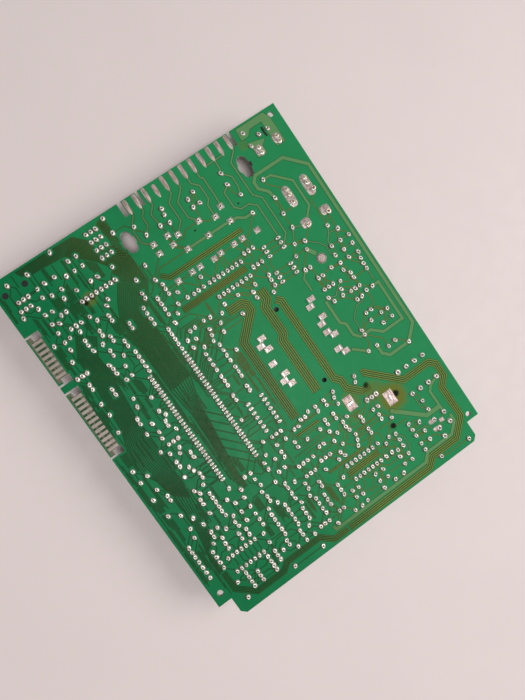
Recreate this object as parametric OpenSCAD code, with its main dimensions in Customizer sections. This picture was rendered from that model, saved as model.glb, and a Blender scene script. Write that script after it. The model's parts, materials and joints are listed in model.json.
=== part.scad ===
// Console main board, solder side up, lying on its own components.
// Millimetres, +Z up, real size, centred on the floor.

/* [Board] */
// Board width, left edge to right edge
board_w = 156; // [130:1:200]
// Board length, lower edge to upper edge
board_l = 190.5; // [160:0.5:240]
// Laminate thickness
board_t = 1.6; // [1.2:0.1:2.4]
// Height of the laminate above the floor
stand_h = 16; // [13:0.5:24]
// Width of the two lower corner notches
notch_w = 7; // [3:0.5:9]
// Length of the two lower corner notches
notch_l = 10; // [5:0.5:14]

/* [Edge contacts] */
// Spacing of the wide contacts
contact_pitch = 5.08; // [4.8:0.01:5.6]
// Length of the wide contacts
contact_l = 7.2; // [5:0.1:9]
// Spacing of the fine contacts
fine_pitch = 2.54; // [2.4:0.01:2.6]

/* [Leads and solder] */
// Diameter of the thin leads
lead_d = 0.6; // [0.4:0.05:0.8]
// Diameter of the thick leads
thick_lead_d = 1; // [0.8:0.05:1.3]
// Outer radius of a solder joint
joint_r = 0.95; // [0.7:0.05:1.1]
// Height of a solder joint
joint_h = 0.9; // [0.5:0.1:1.2]
// How far the leads stand out of the laminate
lead_out = 1.3; // [1:0.1:2]
// Trace thickness, copper and lacquer together
trace_t = 0.08; // [0.05:0.01:0.15]

/* [Parts under the board] */
// Resistor body length
resistor_l = 5; // [4:0.5:6]
// Resistor body diameter
resistor_d = 1.9; // [1.5:0.1:2.2]
// Ceramic disc diameter
disc_d = 5.2; // [4:0.2:6]
// Processor body width
processor_w = 16.6; // [14:0.2:17]
// Screening box width
screen_w = 30.4; // [28:0.2:32]
// Screening box length
screen_l = 48; // [42:0.5:50]
// Slide of the function switch
function_travel = 2.5; // [1:0.1:2.6]
// Slide of the power switch
power_travel = 4; // [2:0.5:5]

/* [Hidden] */
$fn = 32;
drawn_w = 156;
drawn_l = 190.5;
drawn_x0 = 0.5;
spread_x = board_w / drawn_w;
spread_y = board_l / drawn_l;
board_top = stand_h + board_t;
grid = 2.54;
shrink_pitch = 1.778;
hole_d = lead_d + 0.35;
thick_hole_d = thick_lead_d + 0.4;
running_gap = 0.3;

// ---------------------------------------------------------------- where the parts stand

// Rows of resistors: first lead x, y, how many, row spacing, lead spacing, turn
resistor_rows = [
    [5.2, 24.2, 4, 3, 7.8, 0], [5.2, 36.3, 1, 0, 10.3, 0], [5.2, 38.8, 1, 0, 12.4, 0],
    [5.2, 41.5, 1, 0, 12.5, 0], [45.2, 19.7, 5, 2.85, 7.8, 0], [44, 14.2, 2, 2.4, 7.8, 0],
    [58.9, 18.8, 3, 2.9, 7.8, 0], [58.7, 30.7, 2, 2.9, 7.8, 0], [48.4, 36.8, 2, 2.5, 10.3, 0],
    [71, 17.9, 3, 2.85, 8, 0], [86.7, 8.6, 3, 4, 10.3, 0], [101.5, 12.1, 2, 4.3, 10.4, 0],
    [116.3, 11.7, 2, 3.6, 8, 0], [116.3, 20, 3, 3.4, 8, 0], [24.7, 8.2, 3, 2.4, 7.8, 0],
    [19.8, 15.8, 1, 0, 12.7, 0], [20, 30.2, 2, 2.8, 7.6, 0], [31.6, 29.8, 2, 3, 7.8, 0],
    [20.4, 36.1, 1, 0, 9.3, 0], [21.2, 41.4, 1, 0, 9.1, 0], [56.7, 16, 1, 0, 10.3, 0],
    [68.8, 8.3, 1, 0, 10.3, 0], [47.6, 42.6, 1, 0, 7.9, 0], [48.3, 49.6, 2, 3.5, 7.9, 0],
    [65.8, 49.9, 2, 2.9, 7.9, 0], [62.5, 85.4, 2, 2.6, 7.8, 0], [63.1, 93.4, 3, 2.55, 7.9, 0],
    [63, 102.2, 4, 2.95, 7.8, 0], [60.2, 116.8, 1, 0, 10.2, 0], [63.4, 119.6, 1, 0, 7.7, 0],
    [51.7, 136, 4, 2.9, 7.8, 0], [83.5, 125.3, 1, 0, 7.6, 0], [97.9, 119.4, 2, 3, 10.4, 0],
    [100.7, 124.9, 1, 0, 7.9, 0], [90, 33.2, 1, 0, 8, 0], [78.5, 33.2, 1, 0, 8, 0],
    [89, 35.7, 1, 0, 10.3, 0], [92.2, 38.4, 1, 0, 7.8, 0], [89.6, 41.9, 1, 0, 9.2, 0],
    [90.3, 47, 1, 0, 8, 0], [23.5, 75.1, 2, 2.7, 7.8, 0], [24.4, 90.6, 1, 0, 7.8, 0],
    [19.9, 96.2, 1, 0, 10.4, 0], [24.6, 98.8, 1, 0, 7.5, 0], [20.2, 101.8, 1, 0, 10.3, 0],
    [10, 104.4, 1, 0, 10.4, 0], [23.5, 109, 1, 0, 7.8, 0], [11.5, 113.2, 1, 0, 12.8, 0],
    [11.2, 119.3, 1, 0, 7.7, 0], [18.9, 122.1, 1, 0, 7.9, 0], [12, 127, 2, 2.5, 12.8, 0],
    [24.2, 131.9, 1, 0, 7.9, 0], [28.3, 134.5, 2, 2.7, 7.8, 0], [32.2, 140, 2, 2.5, 10.3, 0],
    [21.8, 144.6, 2, 2.6, 7.8, 0], [22.4, 151.7, 1, 0, 9.2, 0], [29.7, 154.9, 1, 0, 9.1, 0],
    [40.9, 157, 1, 0, 15.4, 0], [31.8, 168, 1, 0, 7.6, 0], [42.9, 168, 1, 0, 8, 0],
    [5.6, 170.3, 1, 0, 7.7, 0], [14.8, 51.8, 1, 0, 12.7, 0],
    [16.9, 46.6, 1, 0, 10.4, 0], [32.3, 49.4, 1, 0, 8, 0], [36, 53.2, 1, 0, 9, 0],
    [49, 45.7, 1, 0, 10.6, 0], [101.4, 59.2, 1, 0, 12.7, 0], [102.5, 61.8, 1, 0, 12.8, 0],
    [119, 163.3, 1, 0, 12.9, 0], [118.8, 153.2, 1, 0, 13, 0], [84.1, 170.4, 1, 0, 13, 0],
    [84.1, 174.7, 1, 0, 13, 0], [69.4, 177.6, 1, 0, 15.2, 0], [101, 176.4, 1, 0, 15.8, 0],
    [100.8, 170.5, 1, 0, 15.6, 0], [72, 166.1, 2, 5.4, 7.7, 0], [132.2, 128.7, 1, 0, 13.3, 0],
    [126.2, 99.9, 1, 0, 7.7, 0], [140, 106.9, 1, 0, 10.4, 0], [142.2, 101.2, 2, 2.8, 7.9, 0],
    [68.7, 142, 1, 0, 12.9, 0],
    [4.9, 69.5, 1, 0, 9.9, 90], [10.9, 48.5, 1, 0, 7.7, 90], [61.5, 51.7, 1, 0, 10.1, 90],
    [63, 37.3, 1, 0, 8.5, 90], [79.5, 50.4, 1, 0, 7.4, 90], [87.2, 50.6, 1, 0, 10.4, 90],
    [76, 104.8, 1, 0, 10.2, 90], [59.8, 121, 1, 0, 10, 90], [63.2, 124, 1, 0, 10, 90],
    [65.9, 124.2, 1, 0, 13.3, 90], [71.1, 124.5, 1, 0, 13, 90], [74.5, 124.1, 1, 0, 13.1, 90],
    [80.1, 122.6, 1, 0, 14.9, 90], [83.3, 17, 1, 0, 8, 90], [112.8, 19.7, 1, 0, 7.9, 90],
    [129.2, 4, 1, 0, 10.6, 90], [101.3, 48, 1, 0, 7.6, 90], [124.5, 117.1, 1, 0, 7.9, 90],
    [127.2, 116.9, 1, 0, 13.2, 90], [130.9, 137.2, 1, 0, 7.8, 90], [135.7, 103.4, 1, 0, 7.8, 90],
    [137.6, 83.6, 2, 2.9, 7.8, 90], [144, 79.6, 2, 3.6, 13, 90], [137.7, 64, 1, 0, 15.2, 90],
    [142.1, 64.6, 1, 0, 10.2, 90], [147.5, 60, 1, 0, 15.2, 90], [31.8, 175.7, 1, 0, 12.7, 90],
    [59.9, 180.5, 1, 0, 7.8, 90], [63.5, 152.3, 1, 0, 8, 90], [19.8, 154.9, 2, 2.7, 7.6, 90],
    [25.2, 154.9, 1, 0, 13.1, 90], [17.6, 166, 1, 0, 7.5, 90], [18, 177.8, 1, 0, 7.8, 90],
    [17.1, 151.9, 1, 0, 8, 90]
];

// Rows of bare wire links, same order as the resistors
link_rows = [
    [4.9, 85.7, 1, 0, 15.3, 0], [9.2, 80.3, 1, 0, 17.9, 0], [9, 72.5, 1, 0, 17.8, 0],
    [11.2, 64.8, 2, 2.5, 17.9, 0], [6.1, 59.4, 1, 0, 17.8, 0], [10, 43.9, 1, 0, 17.7, 0],
    [37.4, 119.5, 5, 2.7, 18.1, 0], [36.9, 148, 2, 2.6, 18.1, 0], [88, 117, 1, 0, 18, 0],
    [130.7, 124.8, 1, 0, 18.3, 0],
    [59, 55.9, 1, 0, 20.3, 90], [77, 42, 1, 0, 15.8, 90], [82.1, 44, 2, 2.5, 15.8, 90],
    [77.1, 119.2, 1, 0, 18.2, 90]
];

// Ceramic discs: first lead x, y, how many, row spacing, lead spacing, turn
disc_rows = [
    [24.2, 38.6, 1, 0, 5.1, 0], [34.3, 36, 1, 0, 5.1, 0], [46.9, 10.9, 1, 0, 5.1, 0],
    [45.7, 34.1, 1, 0, 5.1, 0], [60, 27.4, 1, 0, 5.1, 0], [22.3, 54.3, 2, 2.5, 5.1, 0],
    [22.3, 49.1, 1, 0, 5.1, 0], [23.3, 82.6, 1, 0, 5.1, 0], [25, 93.9, 1, 0, 5.1, 0],
    [103.8, 8.7, 1, 0, 5.1, 0], [66, 56.7, 1, 0, 5.1, 0], [64.4, 114.2, 1, 0, 5.1, 0],
    [91.3, 58.3, 2, 2.7, 5.1, 0], [91.5, 50.4, 2, 2.6, 5.1, 0], [93.1, 44.3, 1, 0, 5.1, 0],
    [140.7, 114.9, 1, 0, 5.1, 0], [140.7, 110.5, 1, 0, 5.1, 0], [127.8, 97, 1, 0, 5.1, 0],
    [21.6, 172, 1, 0, 5.1, 0], [22.3, 141.3, 1, 0, 5.1, 0], [128, 67.7, 1, 0, 5.1, 0],
    [136.1, 179.2, 1, 0, 7.1, 90],
    [37, 20.9, 1, 0, 5.1, 90], [34.6, 40.7, 1, 0, 5.1, 90], [39.4, 40.4, 1, 0, 5.1, 90],
    [30, 122.4, 1, 0, 5.1, 90], [14.1, 151.4, 1, 0, 5.1, 90],
    [14.2, 161.3, 1, 0, 5.1, 90], [36.1, 175.7, 2, 4.2, 5.1, 90], [83.2, 8.1, 1, 0, 5.1, 90],
    [129.4, 19.5, 1, 0, 5.1, 90], [136.7, 27.1, 1, 0, 5.1, 90], [109.7, 20.6, 1, 0, 5.1, 90],
    [106.3, 20.6, 1, 0, 7.7, 90], [151.1, 110.1, 1, 0, 5.1, 90], [72.5, 27.7, 1, 0, 2.5, 90],
    [106.7, 41.6, 1, 0, 2.5, 90], [106.7, 34.5, 1, 0, 2.5, 90], [114.8, 37, 1, 0, 2.5, 90],
    [113.9, 43.1, 1, 0, 2.9, 0], [131, 75.4, 1, 0, 2.5, 90], [127.6, 110.4, 1, 0, 2.5, 0]
];

// Electrolytic capacitors: first lead x, y, how many, row spacing, lead spacing, turn, diameter
can_rows = [
    [22, 178.3, 1, 0, 5.1, 0, 8], [22.3, 61.8, 1, 0, 5.1, 0, 8], [72.7, 12.8, 1, 0, 2.5, 0, 6.3],
    [142.3, 182, 1, 0, 5.1, 0, 8]
];

// Three-legged transistors: middle leg x, y, turn
transistors = [
    [27.9, 86.5, 0], [68.8, 61.2, 0], [71.3, 42, 0], [71.7, 36, 0], [63.5, 12, 0], [81.7, 38, 0],
    [129.5, 104.3, 0], [139.9, 96.4, 0], [11.7, 134.6, 0], [19.8, 10.7, 90], [36.7, 13.5, 90],
    [65.1, 146.3, 90]
];

// Chips: centre x, y, turn, pins in a row, row spacing
chips = [
    [24.6, 22.6, 0, 7, 7.62], [95.5, 24.4, 0, 7, 7.62], [92.3, 133.5, 0, 8, 7.9],
    [69.6, 72.8, 90, 7, 7.7], [107.1, 135.9, 0, 3, 7.7], [118.1, 134.4, 90, 3, 8.2],
    [116.4, 121.2, 90, 3, 8.2]
];

processor_at = [45.7, 87.8];
processor_rows = 34;
processor_row_gap = 19.2;

// Single pins that carry no part
test_pins_at = [
    [14.2, 14.5], [14.2, 5.7], [40.3, 4], [56.7, 3.6], [145.7, 2.8], [40.2, 13.9], [56.8, 11],
    [119.2, 34.6], [8, 186.3], [14.2, 147.3], [11.7, 142.3],
    [9.2, 152.6]
];

// Larger parts, one point each
function_switch_at = [52, 180];
volume_at = [9.8, 183];
power_switch_at = [136.2, 18.7];
trimmer_at = [146.8, 119.5];
screen_at = [102.4, 89.1];
fuses_at = [[138.6, 163.9], [149, 163.9]];
choke_at = [144, 140.6];
relay_at = [141.8, 44.4];
sink_at = [115.2, 47.6];
regulator_at = [116.6, 48.6];
filters_at = [[84, 155.3], [95.6, 155.3], [108, 155.3]];
beads_at = [[72, 146, 15.2], [79.6, 146, 15.2], [103.2, 146, 15.2]];
network_at = [39.8, 162.4];
crystal_at = [25.1, 69.8];

// Screening box lugs on each wall: height up the board, how far the land is off the lug
left_lugs = [
    [76.7, 1.2], [79.5, -1.2], [82.3, 1.2], [89.3, -1.2], [96.3, 1.2], [99.2, -1.2], [102.1, 1.2]
];
right_lugs = [
    [74.3, 1.5], [77.2, -0.9], [84.1, 1.5], [86.9, -0.9],
    [91.5, -0.9], [94.3, 1.5], [101.3, -0.9], [104.2, 1.5]
];

// Feet of the heat sink: place from its centre, turn
sink_feet = [[-9, 4.7, 0], [9, -4.7, 90]];

// ---------------------------------------------------------------- footprints

function at(p) = [(p.x - drawn_x0 - drawn_w / 2) * spread_x, (p.y - drawn_l / 2) * spread_y];
function turned(v, a) = [v.x * cos(a) - v.y * sin(a), v.x * sin(a) + v.y * cos(a)];
function row_of(r) = [
    for (i = [0:r[2] - 1])
        r[5] == 0 ? [r.x, r.y + i * r[3], 0, r[4], r[6]] : [r.x + i * r[3], r.y, 90, r[4], r[6]]
];
function spread_rows(rows) = [for (r = rows) each row_of(r)];
function ends_of(parts) = [for (p = parts) each [at(p), at(p) + turned([p[3], 0], p[2])]];
function legs_of(parts) = [for (p = parts) for (i = [-1:1]) at(p) + turned([i * grid, 0], p[2])];
function pins_of(c) = [
    for (s = [-1, 1])
        for (i = [0:c[3] - 1])
            at(c) + turned([(i - (c[3] - 1) / 2) * grid, s * c[4] / 2], c[2])
];
function around(p, offsets) = [for (o = offsets) at(p) + o];

resistors = spread_rows(resistor_rows);
links = spread_rows(link_rows);
discs = spread_rows(disc_rows);
cans = spread_rows(can_rows);

resistor_pads = ends_of(resistors);
link_pads = ends_of(links);
capacitor_pads = concat(ends_of(discs), ends_of(cans));
transistor_pads = legs_of(transistors);
chip_pads = [for (c = chips) each pins_of(c)];
processor_pads = [
    for (s = [-1, 1])
        for (i = [0:processor_rows - 1])
            at(processor_at) + [s * processor_row_gap / 2, (i - (processor_rows - 1) / 2) * shrink_pitch]
];
network_pads = [for (i = [0:7]) at(network_at) + [(i - 3.5) * grid, 0]];
function_pads = [
    for (x = [-1:1])
        for (y = [-1.5:1:1.5])
            at(function_switch_at) + [x * grid, y * 4.2]
];
volume_pads = [
    for (x = [-1:1])
        for (row = [[0.6, -5.6], [-0.8, -9.7]])
            at(volume_at) + [x * 2.5 + row.x, row.y]
];
trimmer_pads = around(trimmer_at, [for (i = [-1:1]) [i * grid * 2, 0]]);
filter_pads = [for (f = filters_at) each around(f, [[0, 8.6], [0, 0.6], [0, -9.3]])];
bead_pads = ends_of([for (b = beads_at) [b.x, b.y, 90, b[2]]]);
crystal_pads = around(crystal_at, [[-2.55, 0], [2.55, 0]]);
regulator_pads = around(regulator_at, [[-2.7, 0], [0, 0], [2.7, 0]]);
relay_pads = [
    for (x = [-1.5:1:1.5])
        for (s = [-1, 1])
            at(relay_at) + [x * 4.98, s * 6.4]
];
power_switch_pads = around(power_switch_at, [[0, -2.5], [0, 2.5], [0, -7.4]]);
power_frame_pads = around(power_switch_at, [[6.4, 2.8], [6.4, -2.8]]);
fuse_pads = [for (f = fuses_at) for (y = [-13, -10.3, 10.3, 13]) at(f) + [0, y]];
choke_pads = [for (x = [-1, 1]) for (y = [-6.5, 6.5]) at(choke_at) + [x * 6, y]];
single_pads = [for (p = test_pins_at) at(p)];

small_part_pads = concat(
    transistor_pads, network_pads, trimmer_pads, filter_pads, bead_pads, crystal_pads,
    function_pads, volume_pads, single_pads
);
thin_pads = concat(
    resistor_pads, link_pads, capacitor_pads, chip_pads, processor_pads, small_part_pads
);
thick_pads = concat(
    regulator_pads, relay_pads, power_switch_pads, power_frame_pads, fuse_pads, choke_pads
);

// ---------------------------------------------------------------- small shared shapes

module below(p, turn = 0) {
    translate([at(p).x, at(p).y, stand_h])
        rotate(turn)
            children();
}

module above(p, turn = 0) {
    translate([at(p).x, at(p).y, board_top])
        rotate(turn)
            children();
}

module joint(bore_d, r = joint_r, h = joint_h) {
    rotate_extrude()
        polygon([
            [bore_d / 2, 0],
            [r, 0],
            [r * 0.68, h * 0.35],
            [bore_d / 2 + 0.1, h],
            [bore_d / 2, h]
        ]);
}

module joints(pads, bore_d = lead_d, r = joint_r, h = joint_h) {
    for (p = pads)
        translate([p.x, p.y, board_top])
            joint(bore_d, r, h);
}

module slot_2d(w, l) {
    square([w, l - w], center = true);
    for (s = [-1, 1])
        translate([0, s * (l - w) / 2])
            circle(d = w);
}

// Straight lead from a depth under the laminate to its tip above it
module lead(depth, d = lead_d) {
    translate([0, 0, -depth])
        cylinder(d = d, h = depth + board_t + lead_out);
}

// Lead that turns under the laminate and runs sideways to a part body
module bent_lead(depth, reach, d = lead_d) {
    lead(depth, d);
    translate([0, 0, -depth])
        sphere(d = d);
    translate([0, 0, -depth])
        rotate([0, 90, 0])
            cylinder(d = d, h = reach);
}

module leads_at(pads, depth, d = lead_d) {
    for (p = pads)
        translate([p.x, p.y, stand_h])
            lead(depth, d);
}

// ---------------------------------------------------------------- laminate

tab_depth = 7;
tab_window = 3.4;
tab_slit = 1;
long_tab = [129, 99.2];
short_tab = [159.4, 139.1];
hooks_at = [[63.6, 173], [128.2, 173]];
round_holes_at = [[4.7, 15.2, 3], [152.3, 13, 2.7], [152.4, 186.8, 2.8]];
core_offset = screen_l / 2 - 3.6;
spare_holes_at = [[91.7, 161.2], [115.8, 160.6]];
first_contact_x = 72;

function contact_x(i) = at([first_contact_x, 0]).x + i * contact_pitch;

// A contact's middle, and the point just inside its lower end, in the drawn layout
function over_contact(i) = first_contact_x + i * contact_pitch / spread_x;
function contact_end(i) = [over_contact(i), drawn_l / 2 + (board_l / 2 - contact_l + 0.7) / spread_y];

module board_outline() {
    w = board_w / 2;
    l = board_l / 2;
    cut = 2.3;
    polygon([
        [-w, l], [w, l], [w, -l + notch_l], [w - notch_w, -l + notch_l],
        [w - notch_w, -l + cut], [w - notch_w - cut, -l],
        [-w + notch_w + cut, -l], [-w + notch_w, -l + cut],
        [-w + notch_w, -l + notch_l], [-w, -l + notch_l]
    ]);
}

// Window and slit at one end of a fine contact tab; way points away from the tab
module tab_end(y, way) {
    window_y = way > 0 ? y : y - tab_window;
    slit_y = way > 0 ? y + tab_window - tab_slit : y - tab_window;
    edge = -board_w / 2;
    translate([edge + 2.4, window_y])
        square([tab_depth - 2.4, tab_window]);
    translate([edge - 1, slit_y])
        square([4, tab_slit]);
}

// Four-cornered latch hole with rounded waist
module latch_hole() {
    slot_2d(5, 11);
    circle(d = 6.8);
    polygon([[0, 5.2], [3.2, 1.4], [3.2, -1.4], [0, -5.2], [-3.2, -1.4], [-3.2, 1.4]]);
}

module board() {
    color([0.09, 0.47, 0.28])
        translate([0, 0, stand_h])
            linear_extrude(board_t)
                difference() {
                    board_outline();
                    for (p = thin_pads)
                        translate(p) circle(d = hole_d);
                    for (p = thick_pads)
                        translate(p) circle(d = thick_hole_d);
                    for (h = round_holes_at)
                        translate(at(h)) circle(d = h[2]);
                    for (s = [-1, 1])
                        translate(at(screen_at) + [0, s * core_offset]) circle(d = 2.4);
                    for (h = spare_holes_at)
                        translate(at(h)) circle(d = 1.1);
                    for (s = [-1, 1])
                        translate(at(volume_at) + [s * 5.05, 0]) circle(d = 3);
                    for (h = hooks_at)
                        translate(at(h)) latch_hole();
                    contact_slots();
                    tab_end(at([0, long_tab.x]).y, 1);
                    tab_end(at([0, long_tab.y]).y, -1);
                    tab_end(at([0, short_tab.x]).y, 1);
                    tab_end(at([0, short_tab.y]).y, -1);
                    for (f = sink_feet)
                        sink_foot_2d(f, 3.6, 1.3);
                    screen_lug_slots();
                }
}

// Slots left of the first contact, after the second and right of the last
module contact_slots() {
    slot_l = contact_l + 1;
    for (s = [[0, -2.35, 2.1], [1, 1.95, 1.4], [11, 2.3, 1.9]])
        translate([contact_x(s[0]) + s[1], board_l / 2 - contact_l / 2 + 0.5])
            square([s[2], slot_l], center = true);
}

lug_w = 1.6;
lug_t = 0.5;

// Middle of a lug; wall is -1 on the left and 1 on the right
function lug_place(wall, lug) = [
    at(screen_at).x + wall * (screen_w / 2 - lug_t / 2),
    at([0, lug[0]]).y
];

module screen_lug_slots() {
    for (lug = left_lugs)
        translate(lug_place(-1, lug))
            square([lug_t + 0.3, lug_w + 0.3], center = true);
    for (lug = right_lugs)
        translate(lug_place(1, lug))
            square([lug_t + 0.3, lug_w + 0.3], center = true);
}

module sink_foot_2d(foot, l, w) {
    translate(at(sink_at) + [foot.x, foot.y])
        rotate(foot[2])
            square([l, w], center = true);
}

// ---------------------------------------------------------------- contacts

module wide_contacts() {
    contact_w = 2;
    color([0.80, 0.74, 0.72])
        for (i = [0:11])
            translate([contact_x(i) - contact_w / 2, 0, board_top]) {
                short = i == 3;
                back = short ? 1.4 : 0.2;
                translate([0, board_l / 2 - contact_l, 0])
                    cube([contact_w, contact_l - back, trace_t]);
            }
}

module fine_contacts() {
    color([0.45, 0.40, 0.35])
        for (tab = [[long_tab, 12], [short_tab, 8]]) {
            middle = (at([0, tab[0].x]).y + at([0, tab[0].y]).y) / 2;
            for (i = [0:tab[1] - 1])
                translate([
                    -board_w / 2 + 1.2, middle + (i - (tab[1] - 1) / 2) * fine_pitch - 0.7, board_top
                ])
                    cube([tab_depth - 2, 1.4, trace_t]);
        }
}

// ---------------------------------------------------------------- copper under the lacquer

// Bundles of fine lines: how many, spacing, line width, corner points
bundles = [
    [5, 0.95, 0.42, [[80.6, 62], [80.6, 105.2], [92, 116.2], [92, 119.3], [90.2, 121.1], [82.5, 121.1]]],
    [5, 1, 0.42, [[96.5, 66.5], [96.5, 96], [98.6, 98.2], [98.6, 113.4], [101.4, 116.2], [101.4, 121.6]]],
    [4, 1, 0.42, [
        [104.6, 113.7], [106.6, 111.6], [106.6, 66.6], [109, 64.2], [109, 59.4], [114.4, 53.6], [119, 53.6]
    ]],
    [4, 0.95, 0.42, [
        [119, 60.6], [120.2, 60.6], [134.8, 46], [149.8, 46], [152.6, 43.2], [152.6, 36],
        [148.6, 32], [148.6, 14.6], [140.6, 6.7], [125.4, 6.7], [121, 2.9], [72, 2.9]
    ]],
    [4, 0.8, 0.4, [
        [71, 2.9], [63, 2.9], [57.4, 8], [38.4, 8], [34.6, 5.2], [19.4, 5.2], [11.4, 12.6], [11.4, 22]
    ]],
    [3, 0.9, 0.42, [[66.6, 152.6], [69.6, 149.6], [110, 149.6]]],
    [5, 0.66, 0.3, [[66, 133.6], [101.5, 133.6]]],
    [2, 0.7, 0.35, [[79, 30.7], [100, 30.7]]],
    [4, 0.9, 0.42, [[86, 24.4], [104.4, 24.4]]],
    [2, 0.9, 0.42, [[75.5, 54.4], [89, 54.4]]]
];

// Single lines: width, corner points
lines = [
    [0.8, [contact_end(0), [over_contact(0), 182], [69.5, 179.2], [69.5, 177.6]]],
    [0.8, [[69.5, 177.6], [68, 176], [68, 169.6], [72, 166.1]]],
    [0.8, [contact_end(1), [over_contact(1), 181.4], [75, 179], [75, 174.8], [72, 171.5]]],
    [0.8, [contact_end(2), [over_contact(2), 181.4], [79, 178], [79.7, 171.5]]],
    [0.8, [contact_end(4), [over_contact(4), 181.2], [88.8, 177.8], [88.8, 168.4], [84, 163.9]]],
    [0.8, [contact_end(5), [over_contact(5), 180.8], [92.4, 176], [92.4, 167.8], [95.6, 163.9]]],
    [0.8, [contact_end(6), [over_contact(6), 180], [105.3, 177], [105.3, 169.8], [103.2, 167.4], [103.2, 161.2]]],
    [0.8, [contact_end(7), [over_contact(7), 180], [108.6, 179], [108.6, 168], [108, 163.9]]],
    [0.8, [contact_end(8), [over_contact(8), 183], [over_contact(10), 183], contact_end(10)]],
    [0.8, [contact_end(9), [117.6, 178], [116.8, 176.4], [120.3, 172.4], [120.3, 167.4], [119, 163.3]]],
    [0.8, [
        contact_end(11), [over_contact(11), 182], [123.6, 178], [123.6, 160.2], [126.8, 156.6],
        [126.8, 137], [122.2, 132]
    ]],
    [0.8, [
        [116.6, 170.5], [113, 168], [113, 160], [115.5, 157.6], [119.8, 157.6], [122.8, 154.8], [122.8, 138]
    ]],
    [0.7, [[145.5, 128.7], [144.2, 125.5], [141.6, 122.5], [141.7, 119.5]]],
    [0.5, [[144.2, 125.3], [149, 124.8]]],
    [0.5, [[132.2, 128.7], [137.5, 124], [139.4, 121], [139.4, 117], [140.7, 114.9]]],
    [0.5, [[146.8, 119.5], [151.9, 119.5]]],
    [0.5, [[145.8, 114.9], [151.1, 115.2]]],
    [0.5, [[145.8, 114.9], [145.8, 110.5]]],
    [0.6, [[151.1, 110.1], [150.4, 106.9]]],
    [0.6, [[150.1, 101.2], [150.1, 95]]],
    [0.5, [[137.6, 83.6], [140.5, 83.6]]],
    [0.5, [[142.1, 74.8], [147.5, 75.2]]],
    [0.5, [[137.7, 64], [142.1, 64.6]]],
    [0.5, [[147.6, 79.6], [147.5, 75.2]]],
    [0.5, [[120.5, 123.7], [124.5, 125]]],
    [0.6, [[127.2, 130.1], [130.9, 137.2], [138, 134.1]]],
    [0.6, [[126.2, 99.9], [130, 98.6], [131.6, 100.2], [135.7, 103.4]]],
    [0.5, [[133.9, 99.9], [137.3, 96.4]]],
    [0.5, [[130.9, 77.9], [131, 84.6], [135.8, 89.2], [140.2, 89.2]]],
    [0.5, [[134.3, 38], [134.3, 29.6], [136.7, 27.1]]],
    [0.5, [[97.1, 174.7], [101, 176.4]]],
    [0.5, [[97.1, 170.4], [100.8, 170.5]]],
    [0.5, [[79.7, 171.5], [84.1, 170.4]]],
    [0.5, [[71.1, 124.5], [74.5, 124.1]]],
    [0.5, [[77.1, 137.4], [80.1, 137.5]]],
    [0.5, [[117.1, 15.3], [119, 18.6], [119, 23.4], [116.3, 26.8]]],
    [0.5, [[124.3, 20], [125.6, 21.4], [130.4, 21.4], [133.2, 18.6]]]
];

// Wide runs: width, corner points
wide_runs = [
    [1.7, [
        [131.8, 153.2], [131, 157.3], [127.5, 161], [127.5, 164.6], [129.8, 166.9],
        [145.7, 166.9], [154.5, 157.8], [154.5, 66.8], [147.5, 60], [136, 60], [133.1, 63], [133.1, 67.7]
    ]],
    [1.2, [[131.9, 163.3], [136, 163.2], [143.7, 155.4], [143.7, 141.6], [138, 135.6]]],
    [1.4, [[84, 155.9], [108, 155.9], [111.5, 155.3], [114.5, 153.2], [118.8, 153.2]]],
    [2.2, [[130.7, 124.8], [133.4, 120.6]]],
    [1.5, [
        [124.2, 99.2], [124.2, 87], [126.4, 84.8], [126.4, 78.6], [128.8, 75.6],
        [134.8, 75.6], [139.6, 71.2], [151.2, 71.2], [151.2, 92.6], [147.6, 92.6]
    ]],
    [1.4, [[121.8, 73.2], [128, 67.7]]],
    [0.9, [[124.5, 117.1], [121.6, 114], [121.6, 107]]],
    [1.4, [[149.3, 38], [144.6, 36], [142.4, 33.8], [142.6, 21.5]]],
    [2.2, [[120.4, 37.6], [134.5, 24.9], [142.4, 24.9]]],
    [1.7, [[144.6, 18.6], [144.4, 14.4], [139.6, 9.8], [124.6, 9.8], [120.9, 6.2], [66.5, 6.2], [66, 8.4]]]
];

function unit(v) = v / norm(v);
function normal(a, b) = [-unit(b - a).y, unit(b - a).x];
function mitre(p, i) =
    i == 0 ? normal(p[0], p[1]) :
    i == len(p) - 1 ? normal(p[i - 1], p[i]) :
    let (n1 = normal(p[i - 1], p[i]), n2 = normal(p[i], p[i + 1])) (n1 + n2) / (1 + n1 * n2);
function shifted(p, d) = [for (i = [0:len(p) - 1]) p[i] + d * mitre(p, i)];
function reversed(p) = [for (i = [len(p) - 1:-1:0]) p[i]];
function mapped(points) = [for (q = points) at(q)];

module run_2d(points, w) {
    polygon(concat(shifted(points, w / 2), reversed(shifted(points, -w / 2))));
}

module bundle_2d(b) {
    for (i = [0:b[0] - 1])
        run_2d(shifted(mapped(b[3]), (i - (b[0] - 1) / 2) * b[1]), b[2]);
}

// Bare rings around every joint, so that copper only meets it at the rim
module joint_discs(pads, r) {
    for (p = pads)
        translate(p) circle(r = r);
}

module contact_band() {
    translate([at([100, 0]).x, board_l / 2 - contact_l / 2])
        square([64, contact_l], center = true);
}

module bus_traces() {
    color([0.30, 0.56, 0.32])
        translate([0, 0, board_top])
            linear_extrude(trace_t)
                for (b = bundles)
                    bundle_2d(b);
}

module signal_traces() {
    color([0.30, 0.56, 0.32])
        translate([0, 0, board_top])
            linear_extrude(trace_t)
                difference() {
                    for (l = lines)
                        run_2d(mapped(l[1]), l[0]);
                    joint_discs(thin_pads, joint_r);
                    joint_discs(thick_pads, thick_r);
                    contact_band();
                }
}

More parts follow.
